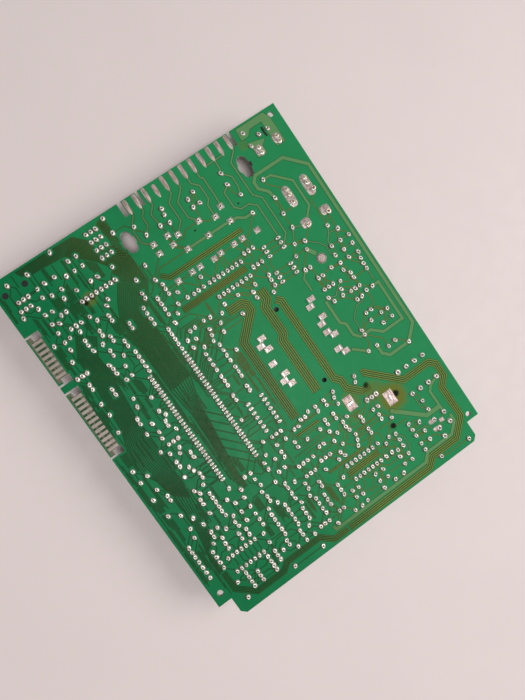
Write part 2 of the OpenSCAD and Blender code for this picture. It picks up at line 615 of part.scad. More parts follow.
module power_copper() {
    color([0.36, 0.57, 0.33])
        translate([0, 0, board_top])
            linear_extrude(trace_t)
                difference() {
                    union() {
                        for (l = wide_runs)
                            run_2d(mapped(l[1]), l[0]);
                        polygon(mapped([
                            [134, 189.5], [149.5, 189.5], [151.4, 186], [151.4, 172.8], [146.6, 172.8],
                            [146.6, 186.2], [140, 186.2], [137.4, 183.6], [133.6, 183.6]
                        ]));
                        polygon(mapped([
                            [134.6, 181.4], [143.8, 179], [140.9, 176.6],
                            [140.9, 172.8], [136, 172.8], [136, 177]
                        ]));
                    }
                    joint_discs(thin_pads, joint_r);
                    joint_discs(thick_pads, thick_r);
                }
}

// ---------------------------------------------------------------- solder

thick_r = 1.5;
land_t = 0.35;

module solder_processor() {
    color([0.83, 0.80, 0.78])
        joints(processor_pads, lead_d, 0.8);
}

module solder_chips() {
    color([0.83, 0.80, 0.78])
        joints(chip_pads);
}

module solder_resistors() {
    color([0.83, 0.80, 0.78])
        joints(concat(resistor_pads, link_pads));
}

module solder_capacitors() {
    color([0.83, 0.80, 0.78])
        joints(capacitor_pads);
}

module solder_small_parts() {
    color([0.83, 0.80, 0.78])
        joints(small_part_pads);
}

module solder_power_parts() {
    color([0.83, 0.80, 0.78])
        joints(thick_pads, thick_lead_d, 1.3, 1);
    color([0.80, 0.74, 0.72])
        translate([0, 0, board_top])
            linear_extrude(land_t)
                for (f = sink_feet)
                    difference() {
                        translate(at(sink_at) + [f.x, f.y])
                            square([4.8, 7.4], center = true);
                        sink_foot_2d(f, foot_l, foot_t);
                    }
}

// Tinned lands round the lugs of the screening box
module ground_lands() {
    color([0.80, 0.74, 0.72])
        translate([0, 0, board_top]) {
            for (lug = left_lugs)
                translate(lug_place(-1, lug))
                    land(lug[1]);
            for (lug = right_lugs)
                translate(lug_place(1, lug))
                    land(lug[1]);
            translate(at([134.3, 117.4]))
                cylinder(r1 = 2.6, r2 = 1.8, h = 0.9);
        }
}

module land(shift) {
    linear_extrude(land_t)
        difference() {
            translate([shift, 0])
                square([3.8, 2.7], center = true);
            square([lug_t, lug_w], center = true);
        }
}

module test_pins() {
    color([0.75, 0.73, 0.70])
        leads_at(single_pads, 0.2);
}

// ---------------------------------------------------------------- chips

chip_gap = 0.5;
chip_h = 3.4;
chip_w = 6.4;

// Chip leg: straight up through the laminate, with a foot reaching the body side
module side_leg(depth, reach) {
    lead(depth);
    translate([0, -lead_d / 2, -depth - 0.12])
        cube([reach, lead_d, 0.25]);
}

// Moulded body with a pin-one notch in its end
module moulded_body(l, w, h, gap) {
    notch_r = 0.8;
    translate([0, 0, -gap - h])
        linear_extrude(h)
            difference() {
                square([l, w], center = true);
                translate([-l / 2, 0]) circle(r = notch_r);
            }
}

module chip_bodies() {
    color([0.10, 0.10, 0.11])
        for (c = chips)
            below(c, c[2])
                moulded_body(c[3] * grid + 0.6, chip_w, chip_h, chip_gap);
}

module chip_leads() {
    color([0.76, 0.75, 0.72])
        for (c = chips)
            for (s = [-1, 1])
                for (i = [0:c[3] - 1])
                    below(c, c[2])
                        translate([(i - (c[3] - 1) / 2) * grid, s * c[4] / 2, 0])
                            rotate(-90 * s)
                                side_leg(chip_gap + chip_h / 2, (c[4] - chip_w) / 2);
}

module processor_body() {
    color([0.10, 0.10, 0.11])
        below(processor_at)
            rotate(90)
                moulded_body(processor_rows * shrink_pitch + 1, processor_w, 4, chip_gap);
}

module processor_leads() {
    color([0.76, 0.75, 0.72])
        for (s = [-1, 1])
            for (i = [0:processor_rows - 1])
                below(processor_at)
                    translate([s * processor_row_gap / 2, (i - (processor_rows - 1) / 2) * shrink_pitch, 0])
                        rotate(s > 0 ? 180 : 0)
                            side_leg(chip_gap + 2, (processor_row_gap - processor_w) / 2);
}

// ---------------------------------------------------------------- resistors and links

resistor_z = resistor_d / 2 + 0.3;

module resistor_body() {
    r = resistor_d / 2;
    l = resistor_l / 2;
    rotate([0, 90, 0])
        rotate_extrude()
            polygon([
                [0, -l], [r * 0.7, -l], [r, -l + 0.5], [r, -l + 1.1], [r * 0.86, -l + 1.5],
                [r * 0.86, l - 1.5], [r, l - 1.1], [r, l - 0.5], [r * 0.7, l], [0, l]
            ]);
}

module resistor_bodies() {
    color([0.80, 0.68, 0.50])
        for (p = resistors)
            below(p, p[2])
                translate([p[3] / 2, 0, -resistor_z])
                    resistor_body();
}

module resistor_leads() {
    color([0.76, 0.75, 0.72])
        for (p = resistors)
            below(p, p[2]) {
                reach = (p[3] - resistor_l) / 2;
                bent_lead(resistor_z, reach);
                translate([p[3], 0, 0])
                    rotate(180)
                        bent_lead(resistor_z, reach);
            }
}

module wire_links() {
    color([0.76, 0.75, 0.72])
        for (p = links)
            below(p, p[2]) {
                bent_lead(lead_d / 2 + 0.1, p[3]);
                translate([p[3], 0, 0]) {
                    lead(lead_d / 2 + 0.1);
                    translate([0, 0, -lead_d / 2 - 0.1])
                        sphere(d = lead_d);
                }
            }
}

// ---------------------------------------------------------------- capacitors

disc_t = 1.8;
disc_skirt = 0.8;
can_gap = 0.9;
bung_h = 1.2;

function can_h(d) = d > 7 ? stand_h : 9;

// Ceramic disc with its coating run a little way down both leads
module ceramic_disc(span) {
    d = max(disc_d, span + 1);
    translate([0, 0, -disc_skirt - 0.5 - d / 2])
        rotate([90, 0, 0])
            translate([0, 0, -disc_t / 2])
                cylinder(d = d, h = disc_t);
    for (s = [-1, 1])
        translate([s * span / 2, 0, -disc_skirt - d / 2])
            cylinder(d = lead_d + 0.5, h = d / 2);
}

module ceramic_discs() {
    color([0.78, 0.50, 0.22])
        for (p = discs)
            below(p, p[2])
                translate([p[3] / 2, 0, 0])
                    ceramic_disc(p[3]);
}

module ceramic_leads() {
    color([0.76, 0.75, 0.72])
        leads_at(ends_of(discs), disc_skirt);
}

module electrolytic_can(d, h) {
    r = d / 2;
    top = -can_gap;
    rotate_extrude()
        polygon([
            [0, top - bung_h], [r * 0.8, top - bung_h], [r * 0.8, top], [r - 0.3, top], [r, top - 0.3],
            [r, top - 1.6], [r - 0.4, top - 2], [r, top - 2.4], [r, -h + 0.5], [r - 0.5, -h], [0, -h]
        ]);
}

module electrolytic_cans() {
    color([0.13, 0.15, 0.22])
        for (p = cans)
            below(p, p[2])
                translate([p[3] / 2, 0, 0])
                    electrolytic_can(p[4], can_h(p[4]));
}

module electrolytic_bungs() {
    color([0.08, 0.08, 0.08])
        for (p = cans)
            below(p, p[2])
                translate([p[3] / 2, 0, -can_gap - bung_h])
                    cylinder(r = p[4] * 0.4, h = bung_h);
}

module electrolytic_leads() {
    color([0.76, 0.75, 0.72])
        leads_at(ends_of(cans), can_gap);
}

// ---------------------------------------------------------------- transistors and network

transistor_gap = 2.5;
transistor_h = 4.6;
network_gap = 0.9;

module transistor_bodies() {
    color([0.11, 0.11, 0.12])
        for (t = transistors)
            below(t, t[2])
                translate([0, 0, -transistor_gap - transistor_h])
                    linear_extrude(transistor_h)
                        difference() {
                            circle(d = 4.7);
                            translate([-3, 1.2]) square([6, 3]);
                        }
}

module transistor_leads() {
    color([0.76, 0.75, 0.72])
        leads_at(transistor_pads, transistor_gap);
}

module resistor_network() {
    color([0.55, 0.42, 0.22])
        below(network_at)
            translate([-10.2, -1.2, -network_gap - 5])
                cube([20.4, 2.4, 5]);
}

module resistor_network_leads() {
    color([0.76, 0.75, 0.72])
        leads_at(network_pads, network_gap);
}

// ---------------------------------------------------------------- function switch

function_w = 8.6;
function_l = 17.4;
function_h = 6.5;
switch_gap = 0.5;
switch_wall = 0.8;
function_stem = [2.2, 4];

module function_switch_case() {
    inner_h = function_h - 2 * switch_wall;
    slot_w = function_stem.x + function_travel + 2 * running_gap;
    slot_l = function_stem.y + 2 * running_gap;
    color([0.20, 0.20, 0.22])
        below(function_switch_at)
            translate([0, 0, -switch_gap - function_h])
                difference() {
                    translate([-function_w / 2, -function_l / 2, 0])
                        cube([function_w, function_l, function_h]);
                    translate([-function_w / 2 + switch_wall, -function_l / 2 + switch_wall, switch_wall])
                        cube([function_w - 2 * switch_wall, function_l - 2 * switch_wall, inner_h]);
                    translate([-slot_w / 2, -slot_l / 2, -1])
                        cube([slot_w, slot_l, 3]);
                }
}

module function_switch_terminals() {
    color([0.76, 0.75, 0.72])
        leads_at(function_pads, switch_gap);
}

module function_switch_lever() {
    inner_w = function_w - 2 * switch_wall;
    block_w = inner_w - function_travel - 2 * running_gap;
    block_l = function_l - 2 * switch_wall - 2 * running_gap;
    block_h = function_h - 2 * switch_wall - 2 * running_gap;
    color([0.85, 0.84, 0.80])
        below(function_switch_at)
            translate([0, 0, -switch_gap - function_h]) {
                translate([-block_w / 2, -block_l / 2, switch_wall + running_gap])
                    cube([block_w, block_l, block_h]);
                translate([-function_stem.x / 2, -function_stem.y / 2, -3])
                    cube([function_stem.x, function_stem.y, 3 + switch_wall + running_gap + 1]);
            }
}

// ---------------------------------------------------------------- volume control

volume_gap = 0.3;
volume_h = 7;
shaft_d = 6;
bushing_d = 9;
bushing_l = 4.5;

module volume_control_case() {
    case_w = 11.2;
    back = 10.8;
    front = 5.2;
    color([0.10, 0.10, 0.11])
        below(volume_at) {
            difference() {
                union() {
                    translate([-case_w / 2, -back, -volume_gap - volume_h])
                        cube([case_w, back + front, volume_h]);
                    translate([0, 0, -volume_gap - volume_h - bushing_l])
                        cylinder(d = bushing_d, h = bushing_l + 1);
                    for (s = [-1, 1])
                        translate([s * 5.05, 0, -volume_gap - 1])
                            cylinder(d = 3, h = 1 + volume_gap + board_t);
                }
                translate([0, 0, -volume_gap - volume_h - bushing_l - 1])
                    cylinder(d = shaft_d + 2 * running_gap, h = bushing_l + 3);
                translate([0, 0, -volume_gap - volume_h + 1.5])
                    cylinder(d = 8.6, h = 4);
            }
        }
}

module volume_control_terminals() {
    color([0.76, 0.75, 0.72])
        leads_at(volume_pads, volume_gap);
}

// Shaft with its rotor disc and a flat for the knob
module volume_control_shaft() {
    shaft_end = stand_h - 0.8;
    rotor_top = volume_gap + volume_h - 1.5 - 4 + running_gap;
    color([0.72, 0.72, 0.74])
        below(volume_at)
            difference() {
                union() {
                    translate([0, 0, -shaft_end])
                        cylinder(d = shaft_d, h = shaft_end - rotor_top);
                    translate([0, 0, -rotor_top - 1.4])
                        cylinder(d = 8, h = 1.4);
                }
                translate([-shaft_d, 1.5, -shaft_end - 1])
                    cube([2 * shaft_d, shaft_d, 4.2]);
            }
}

// ---------------------------------------------------------------- power switch

power_case = [9.6, 14.2, 8];
power_case_offset = [3.2, -2.2];
power_stem = [3, 4];

module power_switch_case() {
    inner = power_case - 2 * switch_wall * [1, 1, 1];
    slot_w = power_stem.x + 2 * running_gap;
    slot_l = power_stem.y + power_travel + 2 * running_gap;
    color([0.16, 0.16, 0.18])
        below(power_switch_at)
            translate([power_case_offset.x, power_case_offset.y, -switch_gap - power_case.z])
                difference() {
                    translate([-power_case.x / 2, -power_case.y / 2, 0])
                        cube(power_case);
                    translate([-inner.x / 2, -inner.y / 2, switch_wall])
                        cube(inner);
                    translate([-slot_w / 2, -slot_l / 2, -1])
                        cube([slot_w, slot_l, 3]);
                }
}

module power_switch_terminals() {
    color([0.76, 0.75, 0.72])
        leads_at(concat(power_switch_pads, power_frame_pads), switch_gap, thick_lead_d);
}

module power_switch_lever() {
    inner = power_case - 2 * switch_wall * [1, 1, 1];
    block = [inner.x - 2 * running_gap, inner.y - power_travel - 2 * running_gap, inner.z - 2 * running_gap];
    color([0.75, 0.12, 0.10])
        below(power_switch_at)
            translate([power_case_offset.x, power_case_offset.y, -switch_gap - power_case.z]) {
                translate([-block.x / 2, -block.y / 2, switch_wall + running_gap])
                    cube(block);
                translate([-power_stem.x / 2, -power_stem.y / 2, -4])
                    cube([power_stem.x, power_stem.y, 4 + switch_wall + running_gap + 1]);
            }
}

// ---------------------------------------------------------------- trimmer

trimmer_size = [12.7, 5, 8];
screw_d = 2.8;

module trimmer_body() {
    color([0.15, 0.30, 0.62])
        below(trimmer_at)
            difference() {
                translate([-trimmer_size.x / 2, -trimmer_size.y / 2, -switch_gap - trimmer_size.z])
                    cube(trimmer_size);
                translate([4, 0, -switch_gap - trimmer_size.z - 1])
                    cylinder(d = screw_d + 2 * running_gap, h = 3.3);
            }
}

module trimmer_leads() {
    color([0.76, 0.75, 0.72])
        leads_at(trimmer_pads, switch_gap);
}

module trimmer_screw() {
    color([0.80, 0.66, 0.32])
        below(trimmer_at)
            translate([4, 0, -switch_gap - trimmer_size.z - 0.8])
                difference() {
                    cylinder(d = screw_d, h = 2.8);
                    translate([-screw_d, -0.3, -1])
                        cube([2 * screw_d, 0.6, 1.6]);
                }
}

// ---------------------------------------------------------------- screening box

screen_gap = 0.3;
plate_t = 0.5;
core_d = 3.6;
former_l = 10;

module screen_box() {
    h = stand_h - screen_gap - plate_t;
    color([0.70, 0.71, 0.72])
        below(screen_at) {
            translate([0, 0, -screen_gap - h])
                difference() {
                    translate([-screen_w / 2, -screen_l / 2, 0])
                        cube([screen_w, screen_l, h]);
                    translate([-screen_w / 2 + plate_t, -screen_l / 2 + plate_t, -1])
                        cube([screen_w - 2 * plate_t, screen_l - 2 * plate_t, h + 1 - plate_t]);
                    for (s = [-1, 1])
                        translate([0, s * core_offset, 0])
                            cylinder(d = core_d + 2 * running_gap, h = h + 1);
                }
        }
    color([0.70, 0.71, 0.72])
        translate([0, 0, stand_h - screen_gap - 1]) {
            for (lug = left_lugs)
                translate(lug_place(-1, lug))
                    screen_lug();
            for (lug = right_lugs)
                translate(lug_place(1, lug))
                    screen_lug();
        }
}

module screen_lug() {
    linear_extrude(1 + screen_gap + board_t + 0.9)
        square([lug_t, lug_w], center = true);
}

module screen_lid() {
    color([0.74, 0.75, 0.76])
        below(screen_at)
            translate([-screen_w / 2, -screen_l / 2, -stand_h])
                cube([screen_w, screen_l, plate_t]);
}

module coil_formers() {
    color([0.82, 0.78, 0.66])
        below(screen_at)
            for (s = [-1, 1])
                translate([0, s * core_offset, -screen_gap - plate_t - former_l])
                    difference() {
                        cylinder(d = 5, h = former_l);
                        translate([0, 0, -1])
                            cylinder(d = core_d + 2 * running_gap, h = former_l + 2);
                    }
}

// Threaded core with a screwdriver slot facing the laminate
module coil_core(s) {
    core_l = 5;
    below(screen_at)
        translate([0, s * core_offset, -screen_gap - plate_t - 1 - core_l])
            difference() {
                cylinder(d = core_d, h = core_l);
                translate([-core_d, -0.35, core_l - 1.2])
                    cube([2 * core_d, 0.7, 2]);
            }
}

module upper_coil_core() {
    color([0.09, 0.09, 0.10])
        coil_core(1);
}

module lower_coil_core() {
    color([0.09, 0.09, 0.10])
        coil_core(-1);
}

// ---------------------------------------------------------------- fuses

fuse_r = 3.15;
fuse_half = 12.9;
cap_wall = 0.4;
glass_t = 0.5;
fuse_z = -5.2;
clip_offset = 11.65;
clip_t = 0.5;

module fuse_clip() {
    rotate([90, 0, 0])
        translate([0, 0, -2.2])
            linear_extrude(4.4) {
                difference() {
                    translate([0, fuse_z]) circle(r = fuse_r + clip_t);
                    translate([0, fuse_z]) circle(r = fuse_r);
                    translate([-1.6, fuse_z - 4]) square([3.2, 4]);
                }
                translate([-1.2, fuse_z + fuse_r + 0.2]) square([2.4, -fuse_z - fuse_r - 0.6]);
                translate([-2.6, -0.9]) square([5.2, clip_t]);
            }
}

module fuse_clips() {
    color([0.78, 0.70, 0.50]) {
        for (f = fuses_at)
            for (s = [-1, 1])
                below(f)
                    translate([0, s * clip_offset, 0])
                        fuse_clip();
        leads_at(fuse_pads, 0.6, thick_lead_d);
    }
}

module along_y(r, y0, l) {
    translate([0, y0, fuse_z])
        rotate([-90, 0, 0])
            cylinder(r = r, h = l);
}

module fuse_glass() {
    half = fuse_half - cap_wall;
    color([0.80, 0.88, 0.88, 0.5])
        for (f = fuses_at)
            below(f)
                difference() {
                    along_y(fuse_r - 0.3, -half, 2 * half);
                    along_y(fuse_r - 0.3 - glass_t, -half - 1, 2 * half + 2);
                }
}

// End caps, joined by the fuse wire
module fuse_caps() {
    cap_l = 6;
    half = fuse_half - cap_wall;
    color([0.78, 0.78, 0.80])
        for (f = fuses_at)
            below(f) {
                for (s = [0, 180])
                    rotate(s)
                        difference() {
                            along_y(fuse_r, fuse_half - cap_l, cap_l);
                            along_y(fuse_r - 0.3, fuse_half - cap_l - 1, cap_l + 1 - cap_wall);
                        }
                along_y(0.2, -fuse_half + 0.1, 2 * fuse_half - 0.2);
            }
}

// ---------------------------------------------------------------- line choke

choke_gap = 1.2;
choke_r = 8.6;
choke_bore = 4.6;
choke_h = 7;
winding_t = 0.7;

module line_choke_core() {
    color([0.22, 0.23, 0.22])
        below(choke_at)
            translate([0, 0, -choke_gap - winding_t - choke_h])
                difference() {
                    cylinder(r = choke_r, h = choke_h);
                    translate([0, 0, -1]) cylinder(r = choke_bore, h = choke_h + 2);
                }
}

module line_choke_windings() {
    color([0.65, 0.32, 0.12])
        below(choke_at)
            for (a = [-65, 115])
                rotate(a)
                    rotate_extrude(angle = 130)
                        translate([0, -choke_gap - winding_t - choke_h])
                            difference() {
                                translate([choke_bore - winding_t, -winding_t])
                                    square([choke_r - choke_bore + 2 * winding_t, choke_h + 2 * winding_t]);
                                translate([choke_bore, 0])
                                    square([choke_r - choke_bore, choke_h]);
                            }
    color([0.65, 0.32, 0.12])
        leads_at(choke_pads, choke_gap + winding_t / 2, thick_lead_d);
}

// ---------------------------------------------------------------- relay

relay_gap = 0.4;
relay_size = [20, 15.4, 10];

module relay_case() {
    color([0.86, 0.84, 0.76])
        below(relay_at)
            translate([-relay_size.x / 2, -relay_size.y / 2, -relay_gap - relay_size.z])
                cube(relay_size);
}

module relay_pins() {
    color([0.76, 0.75, 0.72])
        leads_at(relay_pads, relay_gap, thick_lead_d);
}

// ---------------------------------------------------------------- heat sink and regulator

sink_t = 1.5;
sink_w = 21.2;
sink_d = 12;
foot_l = 3;
foot_t = 0.8;

// Folded plate with short fins along its back, standing on two soldered feet
module heat_sink() {
    h = stand_h - 0.5;
    back_y = 4.7;
    color([0.62, 0.63, 0.65])
        below(sink_at) {
            translate([0, 0, -stand_h])
                linear_extrude(h) {
                    translate([-sink_w / 2 - 0.8, back_y - sink_t / 2])
                        square([sink_w, sink_t]);
                    translate([-sink_w / 2 - 0.8, back_y + sink_t / 2 - sink_d])
                        square([sink_t, sink_d]);
                    translate([9 - sink_t / 2, back_y + sink_t / 2 - sink_d])
                        square([sink_t, sink_d]);
                    for (x = [-9:3.6:9])
                        translate([x - 0.4, back_y])
                            square([0.8, 3.6]);
                }
        }
    color([0.62, 0.63, 0.65])
        translate([0, 0, stand_h - 1])
            linear_extrude(1 + board_t + 0.9)
                for (f = sink_feet)
                    sink_foot_2d(f, foot_l, foot_t);
}

module regulator_body() {
    color([0.10, 0.10, 0.11])
        below(regulator_at)
            translate([-5.1, -1.4, -4 - 9])
                cube([10.2, 3.1, 9]);
    color([0.75, 0.75, 0.76])
        below(regulator_at)
            difference() {
                translate([-5.1, 1.7, -15.3]) cube([10.2, 1.25, 11.3]);
                translate([0, 0, -14]) rotate([-90, 0, 0]) cylinder(d = 2, h = 6);
            }
}

module regulator_leads() {
    color([0.76, 0.75, 0.72])
        leads_at(regulator_pads, 4, thick_lead_d);
}

// ---------------------------------------------------------------- line filters

bead_d = 3.5;
bead_l = 8;

module line_filters() {
    color([0.12, 0.20, 0.36])
        for (f = filters_at)
            below(f)
                translate([-2.4, -11, -switch_gap - 6])
                    cube([4.8, 21.6, 6]);
    color([0.20, 0.20, 0.21])
        for (b = beads_at)
            below(b)
                translate([0, b[2] / 2 - bead_l / 2, -bead_d / 2 - 0.5])
                    rotate([-90, 0, 0])
                        difference() {
                            cylinder(d = bead_d, h = bead_l);
                            translate([0, 0, -1]) cylinder(d = lead_d, h = bead_l + 2);
                        }
}

module filter_leads() {
    color([0.76, 0.75, 0.72]) {
        leads_at(filter_pads, switch_gap);
        for (b = beads_at)
            below(b, 90) {
                bent_lead(bead_d / 2 + 0.5, b[2]);
                translate([b[2], 0, 0]) {
                    lead(bead_d / 2 + 0.5);
                    translate([0, 0, -bead_d / 2 - 0.5]) sphere(d = lead_d);
                }
            }
    }
}

// ---------------------------------------------------------------- crystal

module crystal_can() {
    color([0.74, 0.75, 0.76])
        below(crystal_at)
            translate([0, 0, -0.9 - 3.6])
                linear_extrude(3.6)
                    rotate(90)
                        slot_2d(4.4, 11);
    color([0.74, 0.75, 0.76])
        leads_at(crystal_pads, 1);
}

// ---------------------------------------------------------------- what is drawn

board();
bus_traces();
signal_traces();
power_copper();
wide_contacts();
fine_contacts();
solder_processor();
solder_chips();
solder_resistors();
solder_capacitors();
solder_small_parts();
solder_power_parts();
ground_lands();
test_pins();
processor_body();
processor_leads();
chip_bodies();
chip_leads();
resistor_bodies();
resistor_leads();
wire_links();
ceramic_discs();
ceramic_leads();
electrolytic_cans();
electrolytic_bungs();
electrolytic_leads();
transistor_bodies();
transistor_leads();
resistor_network();
resistor_network_leads();
function_switch_case();
function_switch_terminals();
function_switch_lever();
volume_control_case();
volume_control_terminals();
volume_control_shaft();
power_switch_case();
power_switch_terminals();
power_switch_lever();
trimmer_body();
trimmer_leads();
trimmer_screw();
screen_box();
screen_lid();
coil_formers();
upper_coil_core();
lower_coil_core();
fuse_clips();
fuse_glass();
fuse_caps();
line_choke_core();
line_choke_windings();
relay_case();
relay_pins();
heat_sink();
regulator_body();
regulator_leads();
line_filters();
filter_leads();
crystal_can();
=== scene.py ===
"""A console main board lying solder side up: its looks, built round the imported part."""

import json
import math
import random

import bpy
import numpy as np
from mathutils import Matrix, Vector, noise


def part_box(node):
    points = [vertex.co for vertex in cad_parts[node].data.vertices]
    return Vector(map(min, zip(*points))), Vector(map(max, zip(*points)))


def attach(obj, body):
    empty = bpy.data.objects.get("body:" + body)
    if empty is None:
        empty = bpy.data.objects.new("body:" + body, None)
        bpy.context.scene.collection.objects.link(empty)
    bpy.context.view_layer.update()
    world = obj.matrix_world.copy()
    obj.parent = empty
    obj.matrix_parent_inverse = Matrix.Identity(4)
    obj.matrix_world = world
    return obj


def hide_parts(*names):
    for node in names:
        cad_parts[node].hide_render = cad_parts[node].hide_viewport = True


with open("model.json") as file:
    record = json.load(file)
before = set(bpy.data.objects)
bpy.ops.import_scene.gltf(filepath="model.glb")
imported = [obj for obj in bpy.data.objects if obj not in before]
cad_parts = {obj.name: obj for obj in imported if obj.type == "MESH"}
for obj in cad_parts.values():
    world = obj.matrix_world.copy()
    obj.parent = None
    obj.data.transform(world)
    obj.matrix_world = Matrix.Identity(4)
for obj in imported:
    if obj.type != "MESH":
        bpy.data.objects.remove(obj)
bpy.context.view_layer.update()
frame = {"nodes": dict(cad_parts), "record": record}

MM = 0.001
ROOT = "board_assembly"
BOARD_LOW, BOARD_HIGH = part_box("board")
TOP = BOARD_HIGH.z
# The layout's zero is half a millimetre left of the board and at its lower edge.
LAYOUT_X = 0.5
BOARD_W = (BOARD_HIGH.x - BOARD_LOW.x) / MM
BOARD_L = (BOARD_HIGH.y - BOARD_LOW.y) / MM


def place(x, y, z=0.0):
    """A layout point in millimetres, z above the board's top, as a point in metres."""
    return Vector((BOARD_LOW.x + (x - LAYOUT_X) * MM, BOARD_LOW.y + y * MM, TOP + z * MM))


def layout(point):
    """The layout x and y in millimetres of a point in metres."""
    return (point[0] - BOARD_LOW.x) / MM + LAYOUT_X, (point[1] - BOARD_LOW.y) / MM


# ------------------------------------------------------------------ materials

class Paint:
    """Short-hand for building one node material round a Principled shader."""

    def __init__(self, name):
        self.material = bpy.data.materials.new(name)
        self.material.use_nodes = True
        self.tree = self.material.node_tree
        self.shader = self.tree.nodes["Principled BSDF"]
        self.place = self.tree.nodes.new("ShaderNodeTexCoord").outputs["Object"]

    def feed(self, socket, value):
        """Links a socket to an output, or sets it to a constant."""
        if isinstance(value, bpy.types.NodeSocket):
            self.tree.links.new(value, socket)
        elif isinstance(value, tuple) and len(value) == 3 and socket.type == "RGBA":
            socket.default_value = (*value, 1.0)
        else:
            socket.default_value = value

    def set(self, **values):
        """Sets the shader's sockets by name, with _ for a space."""
        for name, value in values.items():
            self.feed(self.shader.inputs[name.replace("_", " ")], value)

    def noise(self, size, detail=3.0, stretch=(1, 1, 1)):
        """Cloudy noise with features of about size millimetres, longer where stretch is above 1."""
        mapping = self.tree.nodes.new("ShaderNodeMapping")
        mapping.inputs["Scale"].default_value = [1 / (size * MM * s) for s in stretch]
        texture = self.tree.nodes.new("ShaderNodeTexNoise")
        texture.inputs["Scale"].default_value = 1.0
        texture.inputs["Detail"].default_value = detail
        self.tree.links.new(self.place, mapping.inputs["Vector"])
        self.tree.links.new(mapping.outputs["Vector"], texture.inputs["Vector"])
        return texture.outputs["Fac"]

    def waves(self, size, axis):
        """Bands across axis, one every size millimetres."""
        texture = self.tree.nodes.new("ShaderNodeTexWave")
        texture.bands_direction = axis
        texture.inputs["Scale"].default_value = 0.314 / (size * MM)
        self.tree.links.new(self.place, texture.inputs["Vector"])
        return texture.outputs["Fac"]

    def axis(self, name):
        """One coordinate of the place on the part, in metres."""
        split = self.tree.nodes.new("ShaderNodeSeparateXYZ")
        self.tree.links.new(self.place, split.inputs[0])
        return split.outputs[name]

    def upward(self):
        """1 on faces that look up, 0 on walls, -1 underneath."""
        geometry = self.tree.nodes.new("ShaderNodeNewGeometry")
        split = self.tree.nodes.new("ShaderNodeSeparateXYZ")
        self.tree.links.new(geometry.outputs["True Normal"], split.inputs[0])
        return split.outputs["Z"]

    def math(self, kind, a, b=0.0):
        """The result of one sum or function of a and b."""
        step = self.tree.nodes.new("ShaderNodeMath")
        step.operation = kind
        self.feed(step.inputs[0], a)
        self.feed(step.inputs[1], b)
        return step.outputs[0]

    def rise(self, value, low, high, out_low=0.0, out_high=1.0):
        """A smooth step of value from out_low at low to out_high at high."""
        step = self.tree.nodes.new("ShaderNodeMapRange")
        step.interpolation_type = "SMOOTHSTEP"
        self.feed(step.inputs["Value"], value)
        step.inputs["From Min"].default_value = low
        step.inputs["From Max"].default_value = high
        step.inputs["To Min"].default_value = out_low
        step.inputs["To Max"].default_value = out_high
        return step.outputs["Result"]

    def mix(self, factor, a, b):
        """The colour a where factor is 0 and b where it is 1."""
        blend = self.tree.nodes.new("ShaderNodeMix")
        blend.data_type = "RGBA"
        self.feed(blend.inputs["Factor"], factor)
        self.feed(blend.inputs["A"], a)
        self.feed(blend.inputs["B"], b)
        return blend.outputs["Result"]

    def inside(self, left, right, low, high):
        """1 inside a rectangle of layout millimetres, soft at its rim."""
        along, up = self.axis("X"), self.axis("Y")
        a, b = place(left, low), place(right, high)
        soft = 0.4 * MM
        sides = self.math(
            "MULTIPLY", self.rise(along, a.x - soft, a.x + soft), self.rise(along, b.x + soft, b.x - soft)
        )
        ends = self.math(
            "MULTIPLY", self.rise(up, a.y - soft, a.y + soft), self.rise(up, b.y + soft, b.y - soft)
        )
        return self.math("MULTIPLY", sides, ends)

    def spot(self, x, y, radius, ragged=0.5):
        """1 within radius millimetres of a layout point, fading with a ragged rim."""
        away = self.tree.nodes.new("ShaderNodeVectorMath")
        away.operation = "DISTANCE"
        self.tree.links.new(self.place, away.inputs[0])
        away.inputs[1].default_value = place(x, y)
        ragged_away = self.math(
            "ADD", away.outputs["Value"], self.math("MULTIPLY", self.noise(3.0), radius * MM * ragged)
        )
        outer = radius * MM * (1.0 + ragged * 0.7)
        inner = radius * MM * (0.6 + ragged * 0.3)
        return self.rise(ragged_away, outer, inner)

    def bumps(self, height, depth, previous=None):
        """Adds relief of depth millimetres."""
        bump = self.tree.nodes.new("ShaderNodeBump")
        bump.inputs["Strength"].default_value = 1.0
        bump.inputs["Distance"].default_value = depth * MM
        self.tree.links.new(height, bump.inputs["Height"])
        if previous is not None:
            self.tree.links.new(previous, bump.inputs["Normal"])
        self.tree.links.new(bump.outputs["Normal"], self.shader.inputs["Normal"])
        return bump.outputs["Normal"]


def shade(colour, amount):
    """The colour made lighter (amount over 1) or darker."""
    return tuple(min(1.0, c * amount) for c in colour)


def moulded(name, colour, rough=0.5, grain=0.35, relief=0.012, coat=0.0):
    """Moulded or dipped plastic: slight cloudiness, fine skin texture and dust on top."""
    paint = Paint(name)
    cloud = paint.mix(paint.noise(6.0), shade(colour, 0.85), shade(colour, 1.15))
    dusty = paint.mix(paint.rise(paint.noise(1.5), 0.6, 0.85, 0.0, 0.15), cloud, (0.35, 0.33, 0.30))
    paint.set(Base_Color=dusty, Specular_IOR_Level=0.35, Coat_Weight=coat, Coat_Roughness=0.2)
    paint.set(Roughness=paint.rise(paint.noise(2.0), 0.2, 0.8, rough * 0.85, rough * 1.2))
    paint.bumps(paint.noise(grain, 4.0), relief)
    return paint.material


def metal(name, colour, rough=0.3, grain=1.0, stretch=(1, 1, 1), relief=0.01, tarnish=0.25):
    """Plain or plated metal with uneven gloss, tarnish patches and fine scratches."""
    paint = Paint(name)
    patches = paint.rise(paint.noise(grain * 3), 0.45, 0.75, 0, tarnish)
    paint.set(Metallic=0.9)
    paint.set(Base_Color=paint.mix(patches, colour, shade(colour, 0.55)))
    paint.set(Roughness=paint.rise(paint.noise(grain, 4.0, stretch), 0.25, 0.75, rough * 0.7, rough * 1.4))
    paint.bumps(paint.noise(grain, 4.0, stretch), relief)
    return paint.material


